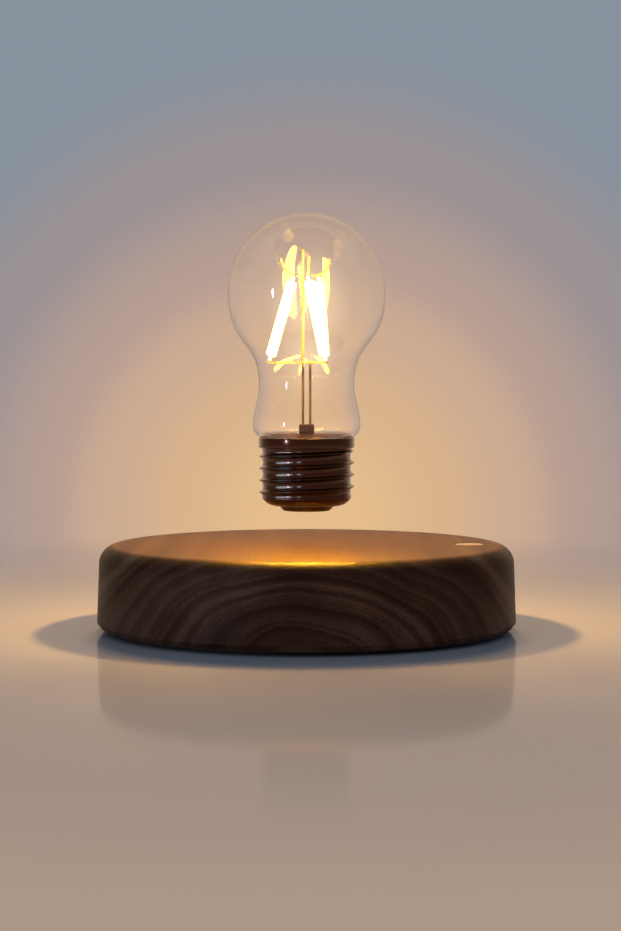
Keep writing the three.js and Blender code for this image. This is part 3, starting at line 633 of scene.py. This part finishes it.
def arc(centre, width, height, start, end, steps):
    """Points of an arc as (radius, height), from one angle in degrees to another."""
    angles = [math.radians(start + (end - start) * i / steps) for i in range(steps + 1)]
    return [(centre[0] + width * math.cos(a), centre[1] + height * math.sin(a)) for a in angles]


inner_corner = CAP_CORNER_RADIUS - CAP_WALL
wall_heights = [CAP_CORNER_TOP + (CAP_TOP - CAP_CORNER_TOP) * i / 110 for i in range(1, 111)]
cap_form = turned(
    [(CAP_HOLE, CAP_BOTTOM)]
    + arc(CAP_CORNER, CAP_CORNER_RADIUS, CAP_CORNER_RADIUS, -90, -28.2, 8)
    + [(CAP_RADIUS, height) for height in wall_heights]
    + [(CAP_RADIUS - CAP_WALL, CAP_TOP)]
    + arc(CAP_CORNER, inner_corner, inner_corner, -30, -90, 5)
    + [(CAP_HOLE, CAP_BOTTOM + CAP_WALL)],
    CAP_STEPS,
    closed=True,
)
for vert in cap_form.verts:
    radius, height = vert.co.xy.length / MM, vert.co.z / MM
    if radius > CAP_RADIUS - 0.01:
        turns = math.atan2(vert.co.y, vert.co.x) / math.tau
        pitches = (height - THREAD_CREST) / THREAD_PITCH - turns
        away = (pitches - round(pitches)) * THREAD_PITCH
        fade = max(min((height - CAP_CORNER_TOP) / THREAD_RUNOUT, (CAP_TOP - height) / THREAD_RUNOUT, 1), 0)
        ridge = THREAD_DEPTH * math.exp(-((away / THREAD_HALF_WIDTH) ** 2))
        hollow = ROOT_HOLLOW * math.cos(math.pi * away / THREAD_PITCH) ** 2
        vert.co.xy *= (radius + fade * (ridge - ROOT_HOLLOW + hollow)) / radius
bmesh.ops.recalc_face_normals(cap_form, faces=cap_form.faces)
cap_shell = new_piece("threaded_cap", cap_form, black_nickel, crease=70)
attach(cap_shell, "bulb")
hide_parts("cap_shell")

# Collar and end disc. The collar is a turned ring that hides the joint of cap and
# glass. The end disc is turned too, tapers to its tip and is pressed into the cap.
collar_form = turned(
    [
        (15.45, CAP_TOP + 0.02),
        (15.95, CAP_TOP + 0.02),
        (15.95, 65.5),
        (17.2, 65.5),
        (17.2, 68.8),
        (16.95, 69.2),
        (16.5, 69.2),
        (16.1, 68.9),
        (15.45, 68.9),
    ],
    CAP_STEPS,
    closed=True,
)
round_over(collar_form, 0.3, 4, (17.2, 65.5))
round_over(collar_form, 0.15, 3, (17.2, 68.8), (16.95, 69.2))
collar = new_piece("cap_collar", collar_form, black_nickel)
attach(collar, "bulb")
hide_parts("cap_collar")

disc_form = turned([(0, 42.9), (8.4, 42.9), (9.7, 44.4), (7.6, 44.4), (7.6, 45.35), (0, 45.35)], 96)
round_over(disc_form, 0.3, 4, (8.4, 42.9), (9.7, 44.4))
end_disc = new_piece("cap_end_disc", disc_form, black_nickel)
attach(end_disc, "bulb")
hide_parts("cap_end_disc")

# Inside of the cap. The receiving coil, ferrite sheet, levitation magnet, rectifier
# board and cement keep their plain shapes, which the cap hides.
magnet_nickel, magnet_mm = new_material(
    "nickel_plated_magnet", {"Base Color": linear("#b9bbbf"), "Metallic": 1, "Roughness": 0.2}
)
magnet_haze = add_node(magnet_nickel, "TexNoise", {"Vector": magnet_mm, "Scale": 1 / 2, "Detail": 4})
magnet_gloss = add_node(
    magnet_nickel, "MapRange", {"Value": magnet_haze.outputs["Fac"], "To Min": 0.14, "To Max": 0.3}
)
fill(magnet_nickel.node_tree.nodes["Principled BSDF"], {"Roughness": magnet_gloss.outputs[0]})
cement, cement_mm = new_material("baked_cement", {"Base Color": linear("#b8b2a6"), "Roughness": 0.9})
cement_grit = add_node(cement, "TexNoise", {"Vector": cement_mm, "Scale": 1 / 0.5, "Detail": 4})
cement_bump = add_node(
    cement, "Bump", {"Height": cement_grit.outputs["Fac"], "Strength": 0.6, "Distance": 0.1 * MM}
)
fill(cement.node_tree.nodes["Principled BSDF"], {"Normal": cement_bump.outputs[0]})
hidden_in_cap = {
    "receiving_coil": copper,
    "ferrite_sheet": ferrite,
    "levitation_magnet": magnet_nickel,
    "rectifier_board": chip_resin,
    "cement_ring": cement,
}
for name, material in hidden_in_cap.items():
    for material_slot in frame["nodes"][name].material_slots:
        material_slot.material = material

# Glass of the bulb. Blown clear soda-lime glass with an even wall of one millimetre,
# open at its neck, which stands inside the cap in cement.
GLASS_WALL = 0.6
SHOULDER = (15.5, 69.1)
FLARE = (19.3, 73.3)
WAIST = (17.15, 88.3)
GLOBE_RADIUS = 28.3
GLOBE_HEIGHT = 121

clear_glass = bpy.data.materials.new("blown_glass")
clear_glass.use_nodes = True
glass_surface = fill(
    clear_glass.node_tree.nodes["Principled BSDF"],
    {
        "Base Color": linear("#ffffff"),
        "Roughness": 0,
        "IOR": 1.5,
        "Transmission Weight": 1,
        # The faint warm emission is a painted glow of the filaments' light in the glass.
        "Emission Color": linear("#ffc99a"),
        "Emission Strength": 0.015,
    },
)
glass_place = add_node(clear_glass, "TexCoord", {})
glass_mm = add_node(
    clear_glass, "Mapping", {"Vector": glass_place.outputs["Object"], "Scale": (1000, 1000, 1000)}
)
glass_waves = add_node(
    clear_glass, "TexNoise", {"Vector": glass_mm.outputs[0], "Scale": 1 / 16, "Detail": 1}
)
glass_bump = add_node(
    clear_glass, "Bump", {"Height": glass_waves.outputs["Fac"], "Strength": 0.15, "Distance": 0.4 * MM}
)
fill(glass_surface, {"Normal": glass_bump.outputs[0]})
passing = add_node(clear_glass, "BsdfTransparent", {"Color": linear("#ffffff")})
ray = add_node(clear_glass, "LightPath", {})
lit_through = add_node(
    clear_glass,
    "MixShader",
    {0: ray.outputs["Is Shadow Ray"], 1: glass_surface.outputs[0], 2: passing.outputs[0]},
)
fill(clear_glass.node_tree.nodes["Material Output"], {"Surface": lit_through.outputs[0]})


def bend(start, start_pull, end_pull, end, steps):
    """Points of a curve that leaves start and reaches end upright."""
    knots = [(*start, 0), (start[0], start[1] + start_pull, 0), (end[0], end[1] - end_pull, 0), (*end, 0)]
    return [tuple(point.xy) for point in interpolate_bezier(*knots, steps + 1)]


glass_form = turned(
    [(13.6, 61)]
    + arc((15.5, 67.2), 1.9, 1.9, 180, 90, 8)
    + arc((15.5, 73.3), 3.8, 4.2, -90, 0, 14)[1:]
    + bend(FLARE, 5.5, 6, WAIST, 18)[1:]
    + bend(WAIST, 16, 20, (GLOBE_RADIUS, GLOBE_HEIGHT), 28)[1:]
    + arc((0, GLOBE_HEIGHT), GLOBE_RADIUS, GLOBE_RADIUS, 0, 90, 32)[1:],
    128,
)
glass = new_piece("bulb_glass", glass_form, clear_glass)
wall = glass.modifiers.new("wall", "SOLIDIFY")
wall.thickness = GLASS_WALL * MM
wall.offset = -1
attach(glass, "bulb")
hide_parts("bulb_glass")

# Mount. A copper plate, browned by the heat of sealing, closes the neck and carries a
# dark ceramic block, out of which come the two lead rods, of copper-clad iron wire.
browned_copper, plate_mm = new_material(
    "browned_copper", {"Base Color": linear("#7a3f24"), "Metallic": 1, "Roughness": 0.35}
)
plate_clouds = add_node(browned_copper, "TexNoise", {"Vector": plate_mm, "Scale": 1 / 5, "Detail": 3})
plate_tone = add_node(
    browned_copper,
    "MixRGB",
    {"Fac": plate_clouds.outputs["Fac"], "Color1": linear("#4a2010"), "Color2": linear("#8a4a2a")},
)
plate_gloss = add_node(
    browned_copper, "MapRange", {"Value": plate_clouds.outputs["Fac"], "To Min": 0.25, "To Max": 0.45}
)
fill(
    browned_copper.node_tree.nodes["Principled BSDF"],
    {"Base Color": plate_tone.outputs[0], "Roughness": plate_gloss.outputs[0]},
)
plate_form = turned([(0, 68.83), (12.8, 68.83), (12.8, 69.33), (0, 69.33)], 96)
round_over(plate_form, 0.15, 2, (12.8, 69.33))
stem_plate = new_piece("stem_plate", plate_form, browned_copper)
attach(stem_plate, "bulb")
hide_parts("stem_plate")

block_form = bmesh.new()
bmesh.ops.create_cube(block_form, size=1)
bmesh.ops.scale(block_form, vec=Vector((5.4, 4, 4.1)) * MM, verts=block_form.verts)
bmesh.ops.bevel(
    block_form,
    geom=list(block_form.edges),
    offset=0.35 * MM,
    affect="EDGES",
    segments=3,
    profile=0.5,
    material=-1,
)
ceramic, ceramic_mm = new_material(
    "fired_ceramic", {"Base Color": linear("#2c130b"), "Roughness": 0.8, "Specular IOR Level": 0.1}
)
ceramic_grit = add_node(ceramic, "TexNoise", {"Vector": ceramic_mm, "Scale": 1 / 0.5, "Detail": 4})
ceramic_tone = add_node(
    ceramic,
    "MixRGB",
    {"Fac": ceramic_grit.outputs["Fac"], "Color1": linear("#360f04"), "Color2": linear("#4a1706")},
)
fill(ceramic.node_tree.nodes["Principled BSDF"], {"Base Color": ceramic_tone.outputs[0]})
lead_block = new_piece("lead_block", moved(block_form, z=71.68), ceramic)
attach(lead_block, "bulb")
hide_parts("lead_block")

clad_wire, clad_mm = new_material("copper_clad_wire", {"Base Color": linear("#553a28"), "Metallic": 1})
clad_lines = add_node(clad_wire, "TexNoise", {"Vector": clad_mm, "Scale": 1 / 0.8, "Detail": 3})
clad_gloss = add_node(
    clad_wire, "MapRange", {"Value": clad_lines.outputs["Fac"], "To Min": 0.28, "To Max": 0.45}
)
fill(clad_wire.node_tree.nodes["Principled BSDF"], {"Roughness": clad_gloss.outputs[0]})
rods = []
for side_name, x, top in (("left", -1.3, 136.3), ("right", 1.3, 96.9)):
    rod_form = turned([(0, 58.2), (0.45, 58.2), (0.45, top), (0, top)], 24)
    round_over(rod_form, 0.2, 3, (0.45, top))
    rod = new_piece(f"lead_rod_{side_name}", moved(rod_form, x=x), clad_wire)
    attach(rod, "bulb")
    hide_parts(f"lead_rod_{side_name}")
    rods.append(rod)

# Star and crown. The star is stamped from nickel-plated sheet and welded to the right rod.
# The crown is a small hub on the left rod with three wires that bend up into horns.
STAR_BOTTOM = 95.7
STAR_REACH = 14.2
CROWN_MIDDLE = 126.8
HORN_CONTROL = 9.2
HORN_REACH = 10.2
HORN_RISE = 6.2

nickel_wire, wire_mm = new_material("drawn_nickel_wire", {"Base Color": linear("#c9a55c"), "Metallic": 1})
wire_lines = add_node(nickel_wire, "TexNoise", {"Vector": wire_mm, "Scale": 1 / 0.8, "Detail": 3})
wire_gloss = add_node(
    nickel_wire, "MapRange", {"Value": wire_lines.outputs["Fac"], "To Min": 0.2, "To Max": 0.36}
)
fill(nickel_wire.node_tree.nodes["Principled BSDF"], {"Roughness": wire_gloss.outputs[0]})


def flat_bar(length, width, thickness, end_radius, bottom):
    """A flat bar from the axis outwards along X, with a rounded end."""
    form = bmesh.new()
    bmesh.ops.create_cube(form, size=1)
    bmesh.ops.scale(form, vec=Vector((length, width, thickness)) * MM, verts=form.verts)
    moved(form, x=length / 2, z=bottom + thickness / 2)
    ends = [
        edge
        for edge in form.edges
        if all(vert.co.x > 0.9 * length * MM for vert in edge.verts)
        and abs(edge.verts[0].co.z - edge.verts[1].co.z) > 0.5 * thickness * MM
    ]
    bmesh.ops.bevel(
        form,
        geom=ends,
        offset=end_radius * MM,
        affect="EDGES",
        segments=4,
        profile=0.5,
        material=-1,
    )
    return form


hub_form = turned([(0, 95.7), (2.8, 95.7), (2.8, 96.3), (0, 96.3)], 48)
round_over(hub_form, 0.12, 2, (2.8, 95.7), (2.8, 96.3))
star = new_piece("lower_star", hub_form, nickel_wire)
carve(star, [leaned(flat_bar(STAR_REACH, 0.9, 0.6, 0.3, STAR_BOTTOM), angle, "Z") for angle in (180, 300, 60)], "UNION")
carve(
    star,
    [
        moved(turned([(0, 95), (radius, 95), (radius, 97), (0, 97)], 24), x=x)
        for radius, x in ((0.75, 1.3), (1.05, -1.3))
    ],
)
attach(star, "bulb")
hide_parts("lower_star")


def horn(angle):
    """One round wire that runs out from the hub and bends up, as the hub's wires do."""
    path = interpolate_bezier(
        Vector((2, 0, CROWN_MIDDLE)) * MM,
        Vector((2 + (HORN_CONTROL - 2) * 2 / 3, 0, CROWN_MIDDLE)) * MM,
        Vector((HORN_REACH + (HORN_CONTROL - HORN_REACH) * 2 / 3, 0, CROWN_MIDDLE + HORN_RISE / 3)) * MM,
        Vector((HORN_REACH, 0, CROWN_MIDDLE + HORN_RISE)) * MM,
        17,
    )
    form = bmesh.new()
    circle = bmesh.ops.create_circle(form, cap_ends=True, segments=12, radius=0.35 * MM)
    verts = circle["verts"]
    bmesh.ops.rotate(form, verts=verts, cent=(0, 0, 0), matrix=Matrix.Rotation(math.pi / 2, 3, "Y"))
    bmesh.ops.translate(form, verts=verts, vec=path[0])
    face = verts[0].link_faces[0]
    heading = 0
    for before, point in zip(path, path[1:]):
        made = bmesh.ops.extrude_face_region(form, geom=[face])["geom"]
        verts = [part for part in made if isinstance(part, bmesh.types.BMVert)]
        face = next(part for part in made if isinstance(part, bmesh.types.BMFace))
        step = point - before
        rise = math.atan2(step.z, step.x)
        bmesh.ops.translate(form, verts=verts, vec=step)
        bmesh.ops.rotate(
            form, verts=verts, cent=point, matrix=Matrix.Rotation(heading - rise, 3, "Y")
        )
        heading = rise
    bmesh.ops.recalc_face_normals(form, faces=form.faces)
    return leaned(form, angle, "Z")


crown_form = turned([(0, 126.5), (2.6, 126.5), (2.6, 127.1), (0, 127.1)], 48)
round_over(crown_form, 0.12, 2, (2.6, 126.5), (2.6, 127.1))
crown = new_piece("upper_crown", crown_form, nickel_wire)
carve(crown, [horn(angle) for angle in (155, 275, 35)], "UNION")
carve(crown, [moved(turned([(0, 125), (0.75, 125), (0.75, 129), (0, 129)], 24), x=-1.3)])
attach(crown, "bulb")
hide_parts("upper_crown")

# Filaments. Each is a row of small diodes on a glass strip under a thick yellow
# coating, with a bare steel pin at each end, spot-welded to the star and the crown.
phosphor, phosphor_mm = new_material(
    "phosphor_coating",
    {
        "Base Color": linear("#f2c65a"),
        "Roughness": 0.6,
        "Emission Color": linear("#ffcb58"),
        "Emission Strength": 36,
    },
)
phosphor_grit = add_node(phosphor, "TexNoise", {"Vector": phosphor_mm, "Scale": 1 / 0.6, "Detail": 2})
phosphor_bump = add_node(
    phosphor, "Bump", {"Height": phosphor_grit.outputs["Fac"], "Strength": 0.3, "Distance": 0.05 * MM}
)
fill(phosphor.node_tree.nodes["Principled BSDF"], {"Normal": phosphor_bump.outputs[0]})
for number, (low_angle, high_angle) in enumerate(((180, 155), (300, 275), (60, 35)), 1):
    low = Matrix.Rotation(math.radians(low_angle), 3, "Z") @ Vector((13.3, 0, 96.8))
    high = Matrix.Rotation(math.radians(high_angle), 3, "Z") @ Vector((5.21, 0, 126.34))
    length = (high - low).length
    filament_form = turned(
        [
            (0, 0),
            (0.5, 0),
            (0.5, 1.6),
            (1.3, 1.7),
            (1.8, 2.2),
            (1.8, length - 2.2),
            (1.3, length - 1.7),
            (0.5, length - 1.6),
            (0.5, length),
            (0, length),
        ],
        32,
    )
    tilt = Vector((0, 0, 1)).rotation_difference(high - low).to_matrix()
    bmesh.ops.rotate(filament_form, verts=filament_form.verts, cent=(0, 0, 0), matrix=tilt)
    filament = new_piece(f"filament_{number}", moved(filament_form, *low), phosphor)
    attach(filament, "bulb")
    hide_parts(f"filament_{number}")

# The light that the filaments give: two warm lamps between them, which ride on the bulb
# as they do. The wide one lights the wood past the cap, and the small one gives the
# golden gleam on polished edges.
past_the_cap = bpy.data.collections.new("past_the_cap")
for piece in (cap_shell, collar, end_disc, stem_plate, lead_block, glass):
    past_the_cap.objects.link(piece)
for name in hidden_in_cap:
    past_the_cap.objects.link(frame["nodes"][name])
for linked in past_the_cap.collection_objects:
    linked.light_linking.link_state = "EXCLUDE"
gleaming = bpy.data.collections.new("gleaming")
for piece in (wooden_base, touch_pad):
    gleaming.objects.link(piece)
for name, power, colour, radius, gleam in (
    ("filament_light", 0.3, "#ffd070", 24, False),
    ("filament_gleam", 3.6, "#ffb52a", 20, True),
):
    glow = bpy.data.objects.new(name, bpy.data.lights.new(name, "POINT"))
    glow.data.energy = power
    glow.data.color = linear(colour)[:3]
    glow.data.shadow_soft_size = radius * MM
    glow.location = (0, 0, 115 * MM)
    glow.visible_camera = False
    glow.visible_transmission = False
    glow.visible_diffuse = not gleam
    glow.visible_glossy = gleam
    glow.light_linking.blocker_collection = past_the_cap
    if gleam:
        glow.light_linking.receiver_collection = gleaming
    glow.parent = frame["bodies"]["bulb"]
    bpy.context.scene.collection.objects.link(glow)

# The wires stand so close to the filaments that they shine like gold.
on_the_wires = bpy.data.collections.new("on_the_wires")
for piece in (star, crown, *rods):
    on_the_wires.objects.link(piece)
for name, power, height in (("wire_glow", 6, 112), ("crown_glow", 2.5, 132)):
    wire_glow = bpy.data.objects.new(name, bpy.data.lights.new(name, "POINT"))
    wire_glow.data.energy = power
    wire_glow.data.color = linear("#ffdf6a")[:3]
    wire_glow.data.shadow_soft_size = 5 * MM
    wire_glow.location = (0, -6 * MM, height * MM)
    wire_glow.visible_camera = False
    wire_glow.visible_transmission = False
    wire_glow.light_linking.receiver_collection = on_the_wires
    wire_glow.light_linking.blocker_collection = on_the_wires
    wire_glow.parent = frame["bodies"]["bulb"]
    bpy.context.scene.collection.objects.link(wire_glow)

# Studio. A wide pale floor with a glazed top, which fades into the backdrop, daylight
# from windows to the left of the camera, a wide soft lamp above, and a pale backdrop
# with a painted pool of the bulb's warm light behind the lamp.
FLOOR_RADIUS = 1.6

floor_form = bmesh.new()
bmesh.ops.create_circle(floor_form, cap_ends=True, segments=96, radius=FLOOR_RADIUS)
glazed, glazed_mm = new_material("glazed_floor", {"Base Color": linear("#d9c7b5"), "Roughness": 0.08})
glazed_top = glazed.node_tree.nodes["Principled BSDF"]
glazed_body = add_node(glazed, "BsdfDiffuse", {"Color": linear("#d9c7b5")})
floor_far = add_node(glazed, "VectorMath", {0: glazed_mm}, operation="LENGTH")
glaze = add_node(
    glazed,
    "MapRange",
    {"Value": floor_far.outputs["Value"], "From Min": 250, "From Max": 360, "To Min": 0.55, "To Max": 0},
)
floor_finish = add_node(
    glazed, "MixShader", {0: glaze.outputs[0], 1: glazed_body.outputs[0], 2: glazed_top.outputs[0]}
)
floor_fade = add_node(
    glazed,
    "MapRange",
    {"Value": floor_far.outputs["Value"], "From Min": 105, "From Max": 450},
    interpolation_type="SMOOTHSTEP",
)
clear = add_node(glazed, "BsdfTransparent", {})
floor_mix = add_node(
    glazed, "MixShader", {0: floor_fade.outputs[0], 1: floor_finish.outputs[0], 2: clear.outputs[0]}
)
fill(glazed.node_tree.nodes["Material Output"], {"Surface": floor_mix.outputs[0]})
floor = new_piece("floor", floor_form, glazed)

# The floor gets more of the filaments' light and less of the soft light than the lamp
# does, so that the base throws a clear shadow and its top stays even.
on_the_floor = bpy.data.collections.new("on_the_floor")
on_the_floor.objects.link(floor)
off_the_floor = bpy.data.collections.new("off_the_floor")
off_the_floor.objects.link(floor)
off_the_floor.collection_objects[0].light_linking.link_state = "EXCLUDE"
bpy.data.objects["filament_light"].light_linking.receiver_collection = off_the_floor
floor_glow = bpy.data.objects.new("floor_glow", bpy.data.lights.new("floor_glow", "POINT"))
floor_glow.data.energy = 0.78
floor_glow.data.color = linear("#ffd58c")[:3]
floor_glow.data.shadow_soft_size = 6 * MM
floor_glow.location = (0, 20 * MM, 115 * MM)
floor_glow.visible_camera = False
floor_glow.visible_transmission = False
floor_glow.visible_glossy = False
floor_glow.light_linking.receiver_collection = on_the_floor
floor_glow.light_linking.blocker_collection = past_the_cap
floor_glow.parent = frame["bodies"]["bulb"]
bpy.context.scene.collection.objects.link(floor_glow)

world = bpy.data.worlds.new("studio")
world.use_nodes = True
bpy.context.scene.world = world
world_place = add_node(world, "TexCoord", {})
from_middle = add_node(
    world,
    "VectorMath",
    {0: world_place.outputs["Generated"], 1: (0, 0.9972, -0.0744)},
    operation="DISTANCE",
)
# What the camera sees directly: a painted pool of the bulb's warm light in the middle of the backdrop, fading to
# grey-blue at the edges.
glow_ramp = add_node(world, "ValToRGB", {"Fac": from_middle.outputs["Value"]})
glow_ramp.color_ramp.interpolation = "EASE"
glow_ramp.color_ramp.elements[0].position = 0.02
glow_ramp.color_ramp.elements[0].color = linear("#e5bd8c")
glow_ramp.color_ramp.elements[1].position = 0.42
glow_ramp.color_ramp.elements[1].color = linear("#c6aa92")
for at, tone in (
    (0.06, "#d9b38c"),
    (0.09, "#ceac92"),
    (0.125, "#b59d93"),
    (0.165, "#9c9294"),
    (0.215, "#88929e"),
    (0.28, "#88929e"),
):
    glow_ramp.color_ramp.elements.new(at).color = linear(tone)
# What is seen through the glass: the same painted pool of warm light, spread wider.
glow_through_glass = add_node(world, "ValToRGB", {"Fac": from_middle.outputs["Value"]})
glow_through_glass.color_ramp.elements[0].position = 0.02
glow_through_glass.color_ramp.elements[0].color = linear("#e5bd8c")
glow_through_glass.color_ramp.elements[1].position = 0.55
glow_through_glass.color_ramp.elements[1].color = linear("#c6aa92")
for at, tone in (
    (0.06, "#d9b38c"),
    (0.09, "#ceac92"),
    (0.12, "#bfa593"),
    (0.14, "#b7a193"),
    (0.2, "#ab9a92"),
    (0.34, "#8d8583"),
):
    glow_through_glass.color_ramp.elements.new(at).color = linear(tone)
room_ramp = add_node(world, "ValToRGB", {"Fac": from_middle.outputs["Value"]})
room_ramp.color_ramp.elements[0].position = 0.6
room_ramp.color_ramp.elements[0].color = linear("#c6aa92")
room_ramp.color_ramp.elements[1].color = linear("#876850")
world_ray = add_node(world, "LightPath", {})
seen_or_mirrored = add_node(
    world,
    "MixRGB",
    {
        "Fac": world_ray.outputs["Is Glossy Ray"],
        "Color1": glow_ramp.outputs[0],
        "Color2": room_ramp.outputs[0],
    },
)
# A painted yellow glare round the filaments, seen only through the glass.
flattened = add_node(
    world,
    "VectorMath",
    {0: world_place.outputs["Generated"], 1: (1, 1, 0.7)},
    operation="MULTIPLY",
)
from_filaments = add_node(
    world, "VectorMath", {0: flattened.outputs[0], 1: (0, 0.9998, 0.0123)}, operation="DISTANCE"
)
glare = add_node(
    world,
    "MapRange",
    {"Value": from_filaments.outputs["Value"], "From Min": 0.036, "From Max": 0, "To Max": 0.8},
    interpolation_type="SMOOTHSTEP",
)
glared = add_node(
    world,
    "MixRGB",
    {"Fac": glare.outputs[0], "Color1": glow_through_glass.outputs[0], "Color2": linear("#ffdeb4")},
)
backdrop = add_node(
    world,
    "MixRGB",
    {
        "Fac": world_ray.outputs["Is Transmission Ray"],
        "Color1": seen_or_mirrored.outputs[0],
        "Color2": glared.outputs[0],
    },
)
upward = add_node(world, "SeparateXYZ", {"Vector": world_place.outputs["Generated"]})
below = add_node(
    world,
    "MapRange",
    {"Value": upward.outputs["Z"], "From Min": -0.1, "From Max": -0.17},
    interpolation_type="SMOOTHSTEP",
)
surround = add_node(
    world,
    "MixRGB",
    {"Fac": below.outputs[0], "Color1": backdrop.outputs[0], "Color2": linear("#ae9888")},
)
seen = add_node(world, "Background", {"Color": surround.outputs[0], "Strength": 1})
lighting = add_node(world, "Background", {"Color": linear("#a8ccff"), "Strength": 0.3})
seen_or_gloss = add_node(
    world,
    "Math",
    {0: world_ray.outputs["Is Camera Ray"], 1: world_ray.outputs["Is Glossy Ray"]},
    operation="MAXIMUM",
)
seen_any = add_node(
    world,
    "Math",
    {0: seen_or_gloss.outputs[0], 1: world_ray.outputs["Is Transmission Ray"]},
    operation="MAXIMUM",
)
world_mix = add_node(
    world, "MixShader", {0: seen_any.outputs[0], 1: lighting.outputs[0], 2: seen.outputs[0]}
)
fill(world.node_tree.nodes["World Output"], {"Surface": world_mix.outputs[0]})

on_the_cap = bpy.data.collections.new("on_the_cap")
for piece in (cap_shell, end_disc):
    on_the_cap.objects.link(piece)
lit_only = {
    "left_window": on_the_cap,
    "right_window": on_the_cap,
    "top_softbox": off_the_floor,
    "floor_softbox": on_the_floor,
    "wood_fill": gleaming,
}
for name, angle, distance, height, size, power, colour in (
    ("bright_window", 49, 1.15, 0.12, (0.06, 0.18), 1.3, "#cfe2ff"),
    ("left_window", 62, 1.15, 0.15, (1.1, 0.36), 6, "#9fd8f5"),
    ("right_window", 20, 1.15, 0.15, (0.2, 0.3), 0.8, "#9fd8f5"),
    ("top_softbox", 180, 1.3, 2.1, (1.6, 1.6), 39, "#ffe6c8"),
    ("floor_softbox", 180, 1.65, 1.85, (0.7, 0.7), 18, "#ffe2bc"),
    ("wood_fill", -6, 1.15, 0.15, (0.5, 0.3), 2.2, "#ffc684"),
):
    lamp = bpy.data.objects.new(name, bpy.data.lights.new(name, "AREA"))
    lamp.data.shape = "ELLIPSE"
    lamp.data.size, lamp.data.size_y = size
    lamp.data.energy = power
    lamp.data.color = linear(colour)[:3]
    turn = math.radians(angle)
    lamp.location = (-distance * math.sin(turn), -distance * math.cos(turn), height)
    aim = Vector((0, 0, 0.06)) - lamp.location
    lamp.rotation_euler = aim.to_track_quat("-Z", "Y").to_euler()
    lamp.visible_camera = False
    lamp.visible_transmission = False
    lamp.visible_glossy = "window" in name
    if name in lit_only:
        lamp.light_linking.receiver_collection = lit_only[name]
    bpy.context.scene.collection.objects.link(lamp)
